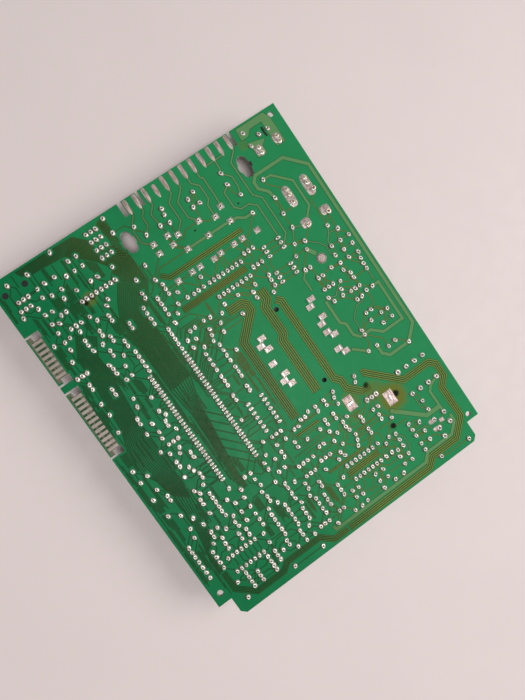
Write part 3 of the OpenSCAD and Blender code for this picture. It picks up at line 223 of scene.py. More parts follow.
# The laminate's green in painted shade at the board's left, and lit at its right.
SHADED_GREEN = (0.003, 0.135, 0.046)
LIT_GREEN = (0.020, 0.225, 0.080)
OLIVE_STAIN = (0.130, 0.140, 0.016)
CUT_EDGE = (0.42, 0.52, 0.38)
RUBBED = (0.150, 0.125, 0.095)
SCORCH = (0.004, 0.008, 0.004)
# Brown flux and heat stains: layout x, y, radius and strength
STAINS = (
    (125.5, 42.5, 8.5, 0.9), (119.5, 50.5, 6.0, 0.55), (107.5, 53.0, 5.5, 0.5),
    (105.5, 45.0, 4.0, 0.4), (34.5, 161.5, 4.0, 0.6), (133.0, 181.5, 3.0, 0.35),
)
# Scorched spots: layout x, y and radius
SCORCHES = (
    (117.6, 54.9, 1.7), (117.6, 30.6, 1.7), (127.6, 43.0, 2.0), (32.0, 161.0, 1.5), (35.8, 161.8, 1.7),
)
# The bare strips on the side tabs: from the edge inwards, and along the edge
TAB_REACH = (1.2, 6.9)
TABS = ((97.0, 131.0), (137.5, 162.5))


def painted_shade_ramp(paint):
    """Painted shade across the board: 0 at its left edge, where the shade is deepest, and 1 at its right,
    wavering a little.
    """
    wander = paint.math("MULTIPLY", paint.noise(35.0), 0.05)
    return paint.rise(paint.math("ADD", paint.axis("X"), wander), -0.050, 0.055)


def stained(paint, colour):
    """The colour under the brown flux and heat stains round the hot parts."""
    for x, y, radius, weight in STAINS:
        amount = paint.math("MULTIPLY", paint.spot(x, y, radius), weight)
        colour = paint.mix(amount, colour, OLIVE_STAIN)
    for x, y, radius in SCORCHES:
        colour = paint.mix(paint.spot(x, y, radius, 0.8), colour, SCORCH)
    return colour


def rubbed_tabs(paint, colour):
    """The colour with the laminate between the fine contacts rubbed dull."""
    for low, high in TABS:
        inside = paint.inside(*TAB_REACH, low, high)
        colour = paint.mix(paint.math("MULTIPLY", inside, 0.9), colour, RUBBED)
    return colour


def laminate():
    """Green lacquered laminate: darker on the left by painted shade, pale where it is cut, stained round
    the hot parts.
    """
    paint = Paint("laminate")
    # Painted shade: the green darkens towards the board's left.
    green = paint.mix(painted_shade_ramp(paint), SHADED_GREEN, LIT_GREEN)
    fibre = paint.mix(paint.noise(9.0, 5.0), shade(SHADED_GREEN, 0.75), shade(LIT_GREEN, 1.2))
    green = paint.mix(0.22, green, fibre)
    top = rubbed_tabs(paint, stained(paint, green))
    wall = paint.mix(paint.noise(0.6), CUT_EDGE, shade(CUT_EDGE, 0.7))
    facing = paint.math("ABSOLUTE", paint.upward())
    paint.set(Base_Color=paint.mix(paint.rise(facing, 0.3, 0.7), wall, top))
    paint.set(Roughness=paint.rise(paint.noise(5.0), 0.2, 0.8, 0.32, 0.46))
    paint.set(Specular_IOR_Level=0.05)
    weave = paint.bumps(paint.waves(0.55, "X"), 0.004)
    paint.bumps(paint.noise(2.5, 4.0), 0.02, weave)
    return paint.material


def lacquered(name, left, right, rough=0.36):
    """Copper under lacquer, its colour running from the board's left to its right; the darker left colour
    is painted shade.
    """
    paint = Paint(name)
    # Painted shade: left is the line's colour in shade, right its colour in the light.
    line = paint.mix(paint.math("POWER", painted_shade_ramp(paint), 2.0), left, right)
    line = paint.mix(paint.rise(paint.noise(4.0), 0.3, 0.8, 0.0, 0.12), line, shade(right, 0.7))
    paint.set(Base_Color=stained(paint, line), Specular_IOR_Level=0.05)
    paint.set(Roughness=paint.rise(paint.noise(1.2), 0.2, 0.8, rough * 0.8, rough * 1.3))
    paint.bumps(paint.noise(0.7), 0.01)
    return paint.material


def tinned(name, colour, streak=(1, 1, 1)):
    """Dull tinned copper with rubbed red-brown patches, streaked with painted highlights over darker tin.
    """
    paint = Paint(name)
    worn = paint.rise(paint.noise(0.8, 5.0, streak), 0.46, 0.62)
    copper = (0.20, 0.085, 0.060)
    # Painted highlights: light streaks in the tin's colour, stretched along the streak direction, among
    # darker ones.
    ridges = paint.rise(paint.noise(0.45, 4.0, streak), 0.35, 0.65)
    tin_with_highlights = paint.mix(ridges, shade(colour, 0.62), shade(colour, 1.4))
    paint.set(Base_Color=paint.mix(paint.math("MULTIPLY", worn, 0.62), tin_with_highlights, copper))
    paint.set(Metallic=0.35)
    paint.set(Roughness=paint.rise(paint.noise(0.4), 0.2, 0.8, 0.294, 0.546))
    paint.bumps(paint.noise(0.6, 5.0, streak), 0.06)
    return paint.material


def worn_fingers():
    """Fine contacts, dull brown-grey with rubbed bands across the tab."""
    paint = Paint("worn_fingers")
    base = paint.mix(paint.noise(0.8, 4.0, (2.5, 0.6, 1)), (0.17, 0.14, 0.11), (0.40, 0.35, 0.30))
    paint.set(Base_Color=base, Metallic=0.2)
    paint.set(Roughness=paint.rise(paint.noise(0.6), 0.2, 0.8, 0.35, 0.6))
    paint.bumps(paint.noise(0.5, 4.0, (2.5, 0.6, 1)), 0.03)
    return paint.material


def flowed_solder():
    """Bright solder with a slightly frosty skin."""
    paint = Paint("flowed_solder")
    frost = paint.rise(paint.noise(0.6), 0.3, 0.6)
    paint.set(Metallic=0.55)
    paint.set(Base_Color=paint.mix(frost, (0.42, 0.37, 0.31), (0.90, 0.87, 0.80)))
    paint.set(Roughness=paint.rise(paint.noise(0.5), 0.25, 0.75, 0.24, 0.42))
    paint.bumps(paint.noise(0.45, 3.0), 0.10)
    return paint.material


def lead_wire():
    """Tinned wire, painted dark at its cut top as shade and dark reflection in the joint's hollow."""
    paint = Paint("tinned_wire")
    bright = paint.mix(paint.noise(0.4), (0.50, 0.48, 0.45), (0.68, 0.66, 0.62))
    # Painted shade and dark reflection on the lead's top.
    painted_dark_top = paint.mix(paint.noise(0.3), (0.05, 0.05, 0.045), (0.20, 0.19, 0.17))
    above = paint.rise(paint.axis("Z"), TOP + 0.4 * MM, TOP + 0.6 * MM)
    paint.set(Base_Color=paint.mix(above, bright, painted_dark_top), Metallic=0.8)
    paint.set(Roughness=paint.rise(paint.noise(0.5), 0.2, 0.8, 0.25, 0.45))
    paint.bumps(paint.noise(0.3), 0.02)
    return paint.material


def wound():
    """Enamelled copper wire, one turn beside the next round the ring, with painted shade in the grooves
    between turns.
    """
    paint = Paint("winding_copper")
    low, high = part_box("line_choke_windings")
    middle = (low + high) / 2
    shift = paint.tree.nodes.new("ShaderNodeVectorMath")
    shift.operation = "SUBTRACT"
    paint.tree.links.new(paint.place, shift.inputs[0])
    shift.inputs[1].default_value = middle
    split = paint.tree.nodes.new("ShaderNodeSeparateXYZ")
    paint.tree.links.new(shift.outputs["Vector"], split.inputs[0])
    angle = paint.math("ARCTAN2", split.outputs["Y"], split.outputs["X"])
    turns = paint.math("ABSOLUTE", paint.math("SINE", paint.math("MULTIPLY", angle, 26.0)))
    # Painted shade: the copper darkens in the grooves between turns.
    paint.set(Base_Color=paint.mix(turns, (0.10, 0.03, 0.01), (0.52, 0.20, 0.07)))
    paint.set(Metallic=0.6, Roughness=0.3, Coat_Weight=0.6)
    paint.bumps(turns, 0.25)
    return paint.material


def clear_glass():
    """Thin clear tube glass with faint dust."""
    paint = Paint("clear_glass")
    paint.set(Base_Color=paint.mix(paint.noise(2.0), (0.80, 0.88, 0.86), (0.92, 0.97, 0.96)))
    paint.set(Transmission_Weight=0.92, IOR=1.5)
    paint.set(Roughness=paint.rise(paint.noise(0.8), 0.4, 0.9, 0.02, 0.12))
    paint.bumps(paint.noise(1.5), 0.01)
    return paint.material


MATERIALS = {
    "laminate": laminate(),
    "lacquered_copper": lacquered("lacquered_copper", (0.060, 0.130, 0.050), (0.110, 0.240, 0.100)),
    "power_lacquer": lacquered("power_lacquer", (0.075, 0.150, 0.050), (0.105, 0.245, 0.095)),
    "tin_plate": tinned("tin_plate", (0.40, 0.35, 0.32)),
    "worn_contact": worn_fingers(),
    "solder": flowed_solder(),
    "tinned_wire": lead_wire(),
    "black_mould": moulded("black_mould", (0.018, 0.018, 0.020), 0.55, 0.25, 0.02),
    "resistor_coat": moulded("resistor_coat", (0.58, 0.40, 0.22), 0.38, 0.8, 0.02, 0.3),
    "ceramic_coat": moulded("ceramic_coat", (0.56, 0.23, 0.05), 0.35, 0.9, 0.06, 0.4),
    "can_sleeve": moulded("can_sleeve", (0.016, 0.022, 0.060), 0.25, 1.2, 0.02, 0.5),
    "rubber_bung": moulded("rubber_bung", (0.012, 0.012, 0.012), 0.75, 0.3, 0.02),
    "network_coat": moulded("network_coat", (0.24, 0.14, 0.05), 0.32, 1.0, 0.05, 0.4),
    "dark_plastic": moulded("dark_plastic", (0.008, 0.008, 0.009), 0.55, 0.3, 0.015),
    "pale_plastic": moulded("pale_plastic", (0.68, 0.66, 0.60), 0.42, 0.5, 0.012),
    "red_plastic": moulded("red_plastic", (0.48, 0.016, 0.010), 0.38, 0.5, 0.012, 0.2),
    "shaft_metal": metal("shaft_metal", (0.60, 0.60, 0.62), 0.28, 0.3, (4, 4, 0.3), 0.012),
    "trimmer_blue": moulded("trimmer_blue", (0.020, 0.075, 0.300), 0.32, 0.6, 0.015, 0.3),
    "brass_screw": metal("brass_screw", (0.72, 0.52, 0.20), 0.3, 0.4),
    "tin_sheet": metal("tin_sheet", (0.58, 0.59, 0.60), 0.34, 2.5, (1, 1, 3), 0.02),
    "former_plastic": moulded("former_plastic", (0.62, 0.55, 0.38), 0.45, 0.5, 0.01),
    "ferrite": moulded("ferrite", (0.040, 0.040, 0.042), 0.6, 0.3, 0.03),
    "clip_brass": metal("clip_brass", (0.66, 0.55, 0.33), 0.3, 1.0),
    "clear_glass": clear_glass(),
    "cap_metal": metal("cap_metal", (0.72, 0.72, 0.74), 0.18, 1.5),
    "winding_copper": wound(),
    "relay_plastic": moulded("relay_plastic", (0.66, 0.61, 0.48), 0.4, 0.6, 0.012, 0.1),
    "sink_aluminium": metal("sink_aluminium", (0.62, 0.63, 0.64), 0.36, 0.5, (1, 1, 5), 0.02, 0.1),
    "filter_case": moulded("filter_case", (0.016, 0.045, 0.120), 0.35, 0.9, 0.02, 0.3),
    "crystal_metal": metal("crystal_metal", (0.66, 0.66, 0.66), 0.22, 1.2),
}

SLOT_OF = {entry["node"]: entry["material_slot"] for entry in frame["record"]["subparts"]}
for node_name, node_object in frame["nodes"].items():
    node_object.data.materials.clear()
    node_object.data.materials.append(MATERIALS[SLOT_OF[node_name]])

# The narrow lines are yellower than the broad ones, partly their copper's tone and partly painted
# highlight; their darker left colour is painted shade.
BUS_LACQUER = lacquered("bus_lacquer", (0.010, 0.100, 0.030), (0.185, 0.245, 0.055), 0.3)
frame["nodes"]["bus_traces"].data.materials[0] = BUS_LACQUER
FINE_LACQUER = lacquered("fine_lacquer", (0.006, 0.078, 0.024), (0.150, 0.200, 0.050), 0.32)
CONTACT_TIN = tinned("contact_tin", (0.50, 0.40, 0.37), (0.4, 6.0, 1))


def ink():
    """Black marker ink, thin at the ends of a stroke."""
    paint = Paint("marker_ink")
    streaks = paint.noise(0.8, 4.0, (1, 4, 1))
    paint.set(Base_Color=paint.mix(streaks, (0.008, 0.010, 0.008), (0.03, 0.05, 0.03)))
    paint.set(Roughness=paint.rise(paint.noise(0.5), 0.2, 0.8, 0.4, 0.6), Specular_IOR_Level=0.1)
    return paint.material


def painted_line_shade():
    """Painted shadow down both sides of a line and beside the broader copper, a little darker towards the
    board's left.
    """
    paint = Paint("line_shadow_paint")
    rim = paint.mix(painted_shade_ramp(paint), (0.003, 0.036, 0.012), (0.008, 0.046, 0.014))
    paint.set(Base_Color=paint.mix(paint.noise(2.0), rim, (0.020, 0.040, 0.010)))
    paint.set(Roughness=paint.rise(paint.noise(1.0), 0.2, 0.8, 0.35, 0.5), Specular_IOR_Level=0.05)
    return paint.material


def rim_shadow():
    """The dark ring round a joint: brown flux and bare laminate, deepened as painted shadow; it also
    paints the shade on the floor of the hollow at the lead.
    """
    paint = Paint("joint_rim_and_shade")
    paint.set(Base_Color=paint.mix(paint.noise(0.8), (0.020, 0.030, 0.012), (0.095, 0.050, 0.028)))
    paint.set(Roughness=paint.rise(paint.noise(0.5), 0.2, 0.8, 0.4, 0.6), Specular_IOR_Level=0.1)
    paint.bumps(paint.noise(0.4), 0.03)
    return paint.material


# ------------------------------------------------------------------ mesh helpers

def make_piece(name, verts, faces, materials, face_slots=None, smooth=True):
    """One mesh object, with corners in metres, that rides on the board."""
    mesh = bpy.data.meshes.new(name)
    mesh.from_pydata([tuple(v) for v in verts], [], faces)
    for material in materials:
        mesh.materials.append(material)
    if face_slots is not None:
        mesh.polygons.foreach_set("material_index", face_slots)
    mesh.polygons.foreach_set("use_smooth", [smooth] * len(mesh.polygons))
    mesh.update()
    piece = bpy.data.objects.new(name, mesh)
    bpy.context.scene.collection.objects.link(piece)
    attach(piece, ROOT)
    return piece


def islands(node):
    """Lowest and highest corner, in metres, of every separate solid in a CAD node."""
    mesh = frame["nodes"][node].data
    points = np.empty(len(mesh.vertices) * 3)
    mesh.vertices.foreach_get("co", points)
    points = points.reshape(-1, 3)
    edges = np.empty(len(mesh.edges) * 2, int)
    mesh.edges.foreach_get("vertices", edges)
    merged = np.unique(np.round(points / (0.002 * MM)), axis=0, return_inverse=True)[1].ravel()
    ends = merged[edges].reshape(-1, 2)
    label = np.arange(merged.max() + 1)
    changed = True
    while changed:
        lowest = np.minimum(label[ends[:, 0]], label[ends[:, 1]])
        before = label.copy()
        np.minimum.at(label, ends[:, 0], lowest)
        np.minimum.at(label, ends[:, 1], lowest)
        label = label[label]
        changed = bool((label != before).any())
    solid_of = label[merged]
    return [
        (points[solid_of == solid].min(0), points[solid_of == solid].max(0))
        for solid in np.unique(solid_of)
    ]


def corner_normals(points):
    """The sideways direction at every corner, long enough to keep the strip's width there."""
    steps = np.diff(points, axis=0)
    steps /= np.linalg.norm(steps, axis=1)[:, None]
    sides = np.stack([-steps[:, 1], steps[:, 0]], axis=1)
    middle = [(a + b) / (1 + a @ b) for a, b in zip(sides[:-1], sides[1:])]
    return np.array([sides[0], *middle, sides[-1]])


# How high the foot of a strip's lip is above the board's top, in millimetres
LIP_FOOT = 0.03


class Strips:
    """Many low flat-topped strips with a lip down each side, the lips painted dark as shade, gathered into
    one mesh.
    """

    def __init__(self):
        self.verts = []
        self.faces = []
        self.face_slots = []

    def add(self, points, width, height=0.06, lip=0.13):
        """A strip along layout points in millimetres."""
        points = np.array(points, float)
        normals = corner_normals(points)
        first = len(self.verts)
        half = width / 2
        profile = ((-half - lip, LIP_FOOT), (-half, height), (half, height), (half + lip, LIP_FOOT))
        for point, normal in zip(points, normals):
            for across, up in profile:
                x, y = point + normal * across
                self.verts.append(place(x, y, up))
        for corner in range(len(points) - 1):
            a = first + corner * 4
            for side in range(3):
                self.faces.append((a + side + 1, a + side, a + side + 4, a + side + 5))
                # Lips take the second material, painted shade.
                self.face_slots.append(0 if side == 1 else 1)

    def piece(self, name, material, shade_material, slot):
        """Makes the mesh of all strips."""
        materials = [material, shade_material]
        make_piece(name, self.verts, self.faces, materials, self.face_slots, smooth=False)


def add_slab(verts, faces, outline, height, shrink):
    """A low slab on a layout outline, its top a share shrink of its foot."""
    first = len(verts)
    count = len(outline)
    middle = np.mean(outline, axis=0)
    for share, up in ((1.0, 0.02), (0.5 + shrink / 2, height * 0.7), (shrink, height)):
        for point in outline:
            x, y = middle + (np.array(point) - middle) * share
            verts.append(place(x, y, up))
    for ring in range(2):
        for side in range(count):
            a = first + ring * count + side
            b = first + ring * count + (side + 1) % count
            faces.append((a, b, b + count, a + count))
    faces.append(tuple(range(first + 2 * count, first + 3 * count)))


# ------------------------------------------------------------------ solder joints

# A solder solid lower than this many millimetres is a flat land and no joint.
JOINT_H = 0.6


def joint_places(node):
    """Layout x, y and radius in millimetres of every joint in a solder node; flat lands are left out."""
    found = []
    for low, high in islands(node):
        if high[2] - low[2] > JOINT_H * MM:
            x, y = layout((low + high) / 2)
            found.append((x, y, (high[0] - low[0]) / 2 / MM))
    return found


# Mean length and width of a joint against its CAD radius, and how freely it turns
JOINT_SHAPES = {
    "solder_processor": (1.80, 0.92, 0.0),
    "solder_chips": (1.45, 0.98, 0.12),
    "solder_resistors": (1.42, 1.08, 0.6),
    "solder_capacitors": (1.42, 1.08, 0.6),
    "solder_small_parts": (1.38, 1.08, 0.5),
    "solder_power_parts": (1.12, 1.0, 0.6),
}
JOINT_SIDES = 18
# Share of the joint's radius, share of its height: a rim, a collar and a hollow round the lead
JOINT_RINGS = (
    (1.10, 0.0), (1.0, 0.03), (0.95, 0.35), (0.84, 0.68), (0.70, 0.90), (0.54, 1.0), (0.40, 0.92),
    (0.27, 0.62),
)


def row_angle(places, x, y):
    """The direction of the line from a joint to its nearest neighbour in the same node."""
    others = (p for p in places if (p[0], p[1]) != (x, y))
    other = min(others, key=lambda p: math.dist(p[:2], (x, y)))
    return math.atan2(other[1] - y, other[0] - x)


def solder_joints():
    """Flowed joints, each a little oval, leaning and uneven, with a dark rim and a hollow at the lead; the
    rim, pushed towards -x, and the hollow's floor are painted shadow.
    """
    dice = random.Random(11)
    verts, faces, face_slots = [], [], []
    for node, (long, wide, free) in JOINT_SHAPES.items():
        places = joint_places(node)
        in_rows = node in ("solder_processor", "solder_chips")
        for x, y, radius in places:
            turn = (row_angle(places, x, y) if in_rows else 0.0) + math.pi / 2
            turn += dice.uniform(-1.0, 1.0) * free
            along = long * dice.uniform(0.90, 1.10)
            across = wide * dice.uniform(0.92, 1.08)
            height = dice.uniform(0.8, 1.0)
            lean = (dice.uniform(-0.22, 0.04), dice.uniform(-0.12, 0.12))
            # The dark rim is pushed towards -x: painted shadow cast away from the light on the right.
            shadow_shift = (dice.uniform(-0.34, -0.10), dice.uniform(-0.16, 0.10))
            bulges = [dice.uniform(0.96, 1.05) for _ in range(JOINT_SIDES)]
            first = len(verts)
            for share, rise in JOINT_RINGS:
                for side in range(JOINT_SIDES):
                    angle = 2 * math.pi * side / JOINT_SIDES
                    swell = (bulges[side] + bulges[side - 1]) / 2
                    u = math.cos(angle) * share * along * radius * swell
                    v = math.sin(angle) * share * across * radius * swell
                    px = u * math.cos(turn) - v * math.sin(turn) + lean[0] * rise
                    py = u * math.sin(turn) + v * math.cos(turn) + lean[1] * rise
                    if share > 1:
                        px, py = px + shadow_shift[0], py + shadow_shift[1]
                    verts.append(place(x + px, y + py, 0.05 + rise * height * 0.8))
            rings = len(JOINT_RINGS)
            for ring in range(rings - 1):
                for side in range(JOINT_SIDES):
                    a = first + ring * JOINT_SIDES + side
                    b = first + ring * JOINT_SIDES + (side + 1) % JOINT_SIDES
                    faces.append((a, b, b + JOINT_SIDES, a + JOINT_SIDES))
                    face_slots.append(1 if ring == 0 else 0)
            # The hollow's floor takes the dark rim material: painted shade and dark reflection round the
            # lead.
            top = first + (rings - 1) * JOINT_SIDES
            faces.append(tuple(range(top, top + JOINT_SIDES)))
            face_slots.append(1)
    joints = make_piece(
        "flowed_joints", verts, faces, [MATERIALS["solder"], rim_shadow()], face_slots
    )
    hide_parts(*JOINT_SHAPES)


PADS = [(x, y, radius) for node in JOINT_SHAPES for x, y, radius in joint_places(node)]
solder_joints()

# ------------------------------------------------------------------ fine lines

# Millimetres from one fine line to the next, and the ground that the lines' squares cover
CELL = 0.62
GRID_W = 158
GRID_L = 192
# Painted shadow beside the lines: its material, and the widths in millimetres of the flat shadow sheets
# beside each node's copper.
LINE_SHADE = painted_line_shade()
SHADOW_SHEET_WIDTHS = {"bus_traces": 0.22, "signal_traces": 0.18, "power_copper": 0.16}
CHANNEL_LINE = 0.28
CHANNEL_LIP = 0.16
FINE_LIP = 0.11
# What stays clear of every joint, and of the copper of these nodes
JOINT_GAP = 0.45
COPPER_GAPS = {
    "ground_lands": 0.5, "solder_power_parts": 0.5, "bus_traces": 0.5, "signal_traces": 0.5,
    "power_copper": 0.9,
}
# Fine lines are few to the right of this.
SPARSE_X = 118


def painted_line_shadows():
    """Flat dark sheets of painted shadow down the sides of the lines and broad copper the CAD model holds.
    """
    verts, faces = [], []
    for node, width in SHADOW_SHEET_WIDTHS.items():
        mesh = frame["nodes"][node].data
        for wall in mesh.polygons:
            foot = [mesh.vertices[v].co for v in wall.vertices if mesh.vertices[v].co.z < TOP + 0.01 * MM]
            if abs(wall.normal.z) < 0.1 and len(foot) == 2:
                out = wall.normal * width * MM
                first = len(verts)
                for corner in (foot[0], foot[1], foot[1] + out, foot[0] + out):
                    verts.append((corner.x, corner.y, TOP + LIP_FOOT * MM))
                faces.append((first, first + 1, first + 2, first + 3))
    make_piece("painted_line_shadows", verts, faces, [LINE_SHADE], smooth=False)


class Squares:
    """Which small squares of the board's top are taken, for laying out the finest lines."""

    def __init__(self):
        self.taken = np.zeros((int(GRID_W / CELL), int(GRID_L / CELL)), bool)

    def cell(self, x, y):
        """The square at a layout point."""
        return int(round(x / CELL)), int(round(y / CELL))

    def take(self, xs, ys, reach):
        """Takes every square within reach millimetres of the points."""
        span = int(math.ceil(reach / CELL))
        for di in range(-span, span + 1):
            for dj in range(-span, span + 1):
                if math.hypot(di, dj) * CELL <= reach + 0.3:
                    i = np.clip(np.round(np.array(xs) / CELL).astype(int) + di, 0, self.taken.shape[0] - 1)
                    j = np.clip(np.round(np.array(ys) / CELL).astype(int) + dj, 0, self.taken.shape[1] - 1)
                    self.taken[i, j] = True

    def take_node(self, node, reach):
        """Takes the squares along every edge of a CAD node."""
        mesh = frame["nodes"][node].data
        for edge in mesh.edges:
            a, b = (layout(mesh.vertices[v].co) for v in edge.vertices)
            count = int(math.dist(a, b) / CELL) + 2
            self.take(np.linspace(a[0], b[0], count), np.linspace(a[1], b[1], count), reach)

    def take_outside(self):
        """Takes every square off the board, over a hole or near its edge."""
        board = frame["nodes"]["board"]
        off = np.zeros_like(self.taken)
        for i in range(off.shape[0]):
            for j in range(off.shape[1]):
                start = place(i * CELL, j * CELL, 5)
                off[i, j] = not board.ray_cast(start, (0, 0, -1), distance=6 * MM)[0]
        near = off.copy()
        near[1:] |= off[:-1]
        near[:-1] |= off[1:]
        near[:, 1:] |= off[:, :-1]
        near[:, :-1] |= off[:, 1:]
        near[:2] = True
        near[-3:] = True
        near[:, :3] = True
        near[:, -3:] = True
        self.taken |= near

    def bent_path(self, start, end, first):
        """Squares of a way that goes straight, then diagonally, then straight."""
        dx, dy = end[0] - start[0], end[1] - start[1]
        sx, sy = (dx > 0) - (dx < 0), (dy > 0) - (dy < 0)
        diagonal = min(abs(dx), abs(dy))
        straight = max(abs(dx), abs(dy)) - diagonal
        step = (sx, 0) if abs(dx) > abs(dy) else (0, sy)
        first = round(first * straight)
        moves = [step] * first + [(sx, sy)] * diagonal + [step] * (straight - first)
        return np.cumsum([start, *moves], axis=0)

    def open_at(self, cell):
        """Whether a square is on the board and not taken."""
        return (
            0 <= cell[0] < self.taken.shape[0] and 0 <= cell[1] < self.taken.shape[1]
            and not self.taken[cell[0], cell[1]]
        )

    def free(self, cells):
        """Whether every square of a way is open."""
        return all(self.open_at(cell) for cell in cells)

    def use(self, cells):
        """Takes a way's squares, and those beside its diagonal steps."""
        cells = np.array(cells)
        self.taken[cells[:, 0], cells[:, 1]] = True
        self.taken[cells[1:, 0], cells[:-1, 1]] = True
        self.taken[cells[:-1, 0], cells[1:, 1]] = True

    def grown_path(self, start, ahead, limit):
        """Squares of a way that keeps ahead and steps aside only where it must."""
        side = (ahead[1], ahead[0])
        cells = [start]
        lean = 0
        while len(cells) < limit:
            i, j = cells[-1]
            tries = [0, lean, -lean] if lean else [0, 1, -1]
            for turn in tries:
                step = (i + ahead[0] + turn * side[0], j + ahead[1] + turn * side[1])
                corners_open = turn == 0 or (
                    self.open_at((step[0], j)) and self.open_at((i, step[1]))
                )
                if self.open_at(step) and corners_open:
                    cells.append(step)
                    lean = turn or lean
                    break
            else:
                break
        return cells


def corners_of(cells):
    """The first, last and turning squares of a way, as layout points."""
    kept = [
        cells[k] for k in range(len(cells))
        if k in (0, len(cells) - 1)
        or (cells[k + 1][0] - cells[k][0], cells[k + 1][1] - cells[k][1])
        != (cells[k][0] - cells[k - 1][0], cells[k][1] - cells[k - 1][1])
    ]
    return [(i * CELL, j * CELL) for i, j in kept]


def between(left, right, share):
    """A line of corners that lies a share of the way from one boundary to the other."""
    return [
        ((1 - share) * a[0] + share * b[0], (1 - share) * a[1] + share * b[1])
        for a, b in zip(left, right)
    ]


# Crowded channels: how many lines, corners of the left boundary, corners of the right boundary
CHANNELS = (
    (
        17,
        ((40.4, 49), (40.6, 62), (41.4, 78), (41.8, 92), (40.2, 106), (40.0, 135), (40.0, 146),
         (43.6, 153), (49.0, 161), (50.4, 168), (47.2, 173), (43.0, 177.4), (36.0, 183.6), (24.0, 184.6),
         (16.0, 184.6)),
        ((43.6, 49), (43.8, 62), (46.2, 80), (47.8, 95), (51.4, 107), (51.0, 133), (51.4, 142),
         (56.5, 148), (60.4, 154), (60.4, 168), (56.8, 175), (48.6, 183.6), (43.6, 188.8), (27.0, 189.2),
         (14.0, 189.2)),
    ),
    (
        13,
        ((9.4, 14), (9.6, 30), (12.6, 45), (12.6, 66), (11.0, 76), (7.8, 82), (8.4, 95), (11.6, 104),
         (13.4, 128), (14.4, 142), (20.0, 152)),
        ((12.6, 14), (13.0, 30), (17.0, 44), (19.4, 60), (20.2, 74), (20.2, 84), (19.6, 95), (20.4, 106),
         (22.6, 128), (22.4, 138), (27.0, 146)),
    ),
    (
        5,
        ((56.6, 169), (56.8, 177), (57.0, 188)),
        ((60.4, 169), (60.0, 177), (59.2, 188)),
    ),
    (
        6,
        ((44.2, 93), (53.2, 83)),
        ((44.2, 66), (53.2, 56)),
    ),
    (
        9,
        ((56.6, 122), (60.0, 127.2), (70.0, 127.2)),
        ((56.6, 98), (76.0, 117.4), (86.0, 117.4)),
    ),
)


def open_runs(corners, squares):
    """The parts of a line that no taken square blocks, each as its own corners."""
    walk = []
    for a, b in zip(corners[:-1], corners[1:]):
        steps = max(2, int(math.dist(a, b) / 0.4))
        walk += [(between([a], [b], step / steps)[0], step == 0) for step in range(steps)]
    walk.append((corners[-1], True))
    runs, run = [], []
    for point, corner in walk:
        if not squares.taken[squares.cell(*point)]:
            run.append((point, corner))
            continue
        runs.append(run)
        run = []
    runs.append(run)
    return [
        [run[0][0]] + [point for point, corner in run[1:-1] if corner] + [run[-1][0]]
        for run in runs if len(run) > 4
    ]


def channel_lines(strips, squares):
    """Lays the crowded channels round the joints; where one is narrow, every other line stops."""
    laid = []
    for count, left, right in CHANNELS:
        roomy = [math.dist(a, b) / (count - 1) > 0.5 for a, b in zip(left, right)]
        for line in range(count):
            corners = between(left, right, line / (count - 1))
            if line % 2:
                corners = [corner for corner, room in zip(corners, roomy) if room]
            for run in open_runs(corners, squares):
                strips.add(run, CHANNEL_LINE, lip=CHANNEL_LIP)
                laid += list(zip(run[:-1], run[1:]))
    for a, b in laid:
        count = int(math.dist(a, b) / CELL) + 2
        squares.take(np.linspace(a[0], b[0], count), np.linspace(a[1], b[1], count), 0.0)


def line_width(x):
    """Lines are finest on the left of the board."""
    return 0.27 if x < 62 else 0.34


def joining_lines(strips, squares):
    """Joins each joint to one or two others near it, wherever a clear way is left."""
    dice = random.Random(5)
    places = np.array([(x, y) for x, y, _ in PADS])
    for index in dice.sample(range(len(places)), len(places)):
        here = places[index]
        away = np.linalg.norm(places - here, axis=1)
        others = [k for k in np.argsort(away) if 3.5 < away[k] < 42]
        crowded = here[0] < SPARSE_X
        wanted = dice.choice((0, 1, 1, 2)) if crowded else 1
        for other in others[: 50 if crowded else 12]:
            if wanted and join(strips, squares, here, places[other], dice):
                wanted -= 1


def join(strips, squares, here, there, dice):
    """Tries a few bent ways between two joints and lays the first clear one."""
    start, end = squares.cell(*here), squares.cell(*there)
    for first in (dice.random(), 0.0, 1.0, 0.5):
        cells = squares.bent_path(start, end, first)
        middle = cells[3:-3]
        if len(middle) > 2 and squares.free(middle):
            squares.use(middle)
            corners = corners_of([tuple(cell) for cell in cells])
            strips.add(corners, line_width(here[0]), lip=FINE_LIP)
            return True
    return False


# Where long lines fill the room left: left, right, low, high, direction, and the share filled
FILLED = (
    (2.0, 40.0, 62.0, 188.0, (0, 1), 0.62),
    (38.0, 62.0, 62.0, 190.0, (0, 1), 0.50),
    (56.0, 78.0, 62.0, 128.0, (0, 1), 0.34),
    (2.0, 30.0, 12.0, 62.0, (0, 1), 0.56),
    (28.0, 78.0, 9.5, 62.0, (0, 1), 0.50),
    (70.0, 112.0, 9.5, 62.0, (1, 0), 0.48),
    (112.0, 150.0, 9.5, 36.0, (1, 0), 0.34),
)


def filling_lines(strips, squares):
    """Long lines in narrow bundles that use up the room left."""
    dice = random.Random(23)
    for left, right, low, high, ahead, share in FILLED:
        starts = [
            (i, j) for i in range(int(left / CELL), int(right / CELL))
            for j in range(int(low / CELL), int(high / CELL), 3)
        ]
        dice.shuffle(starts)
        for i, j in starts:
            across, along = (i, j) if ahead[1] else (j, i)
            bundle = 0.5 + noise.noise(Vector((across * CELL / 2.6, along * CELL / 21.0, left)))
            if bundle > share or not squares.open_at((i, j)):
                continue
            cells = squares.grown_path((i, j), ahead, dice.randint(14, 60))
            if len(cells) > 9:
                squares.use(cells)
                strips.add(corners_of(cells), line_width(i * CELL), lip=FINE_LIP)


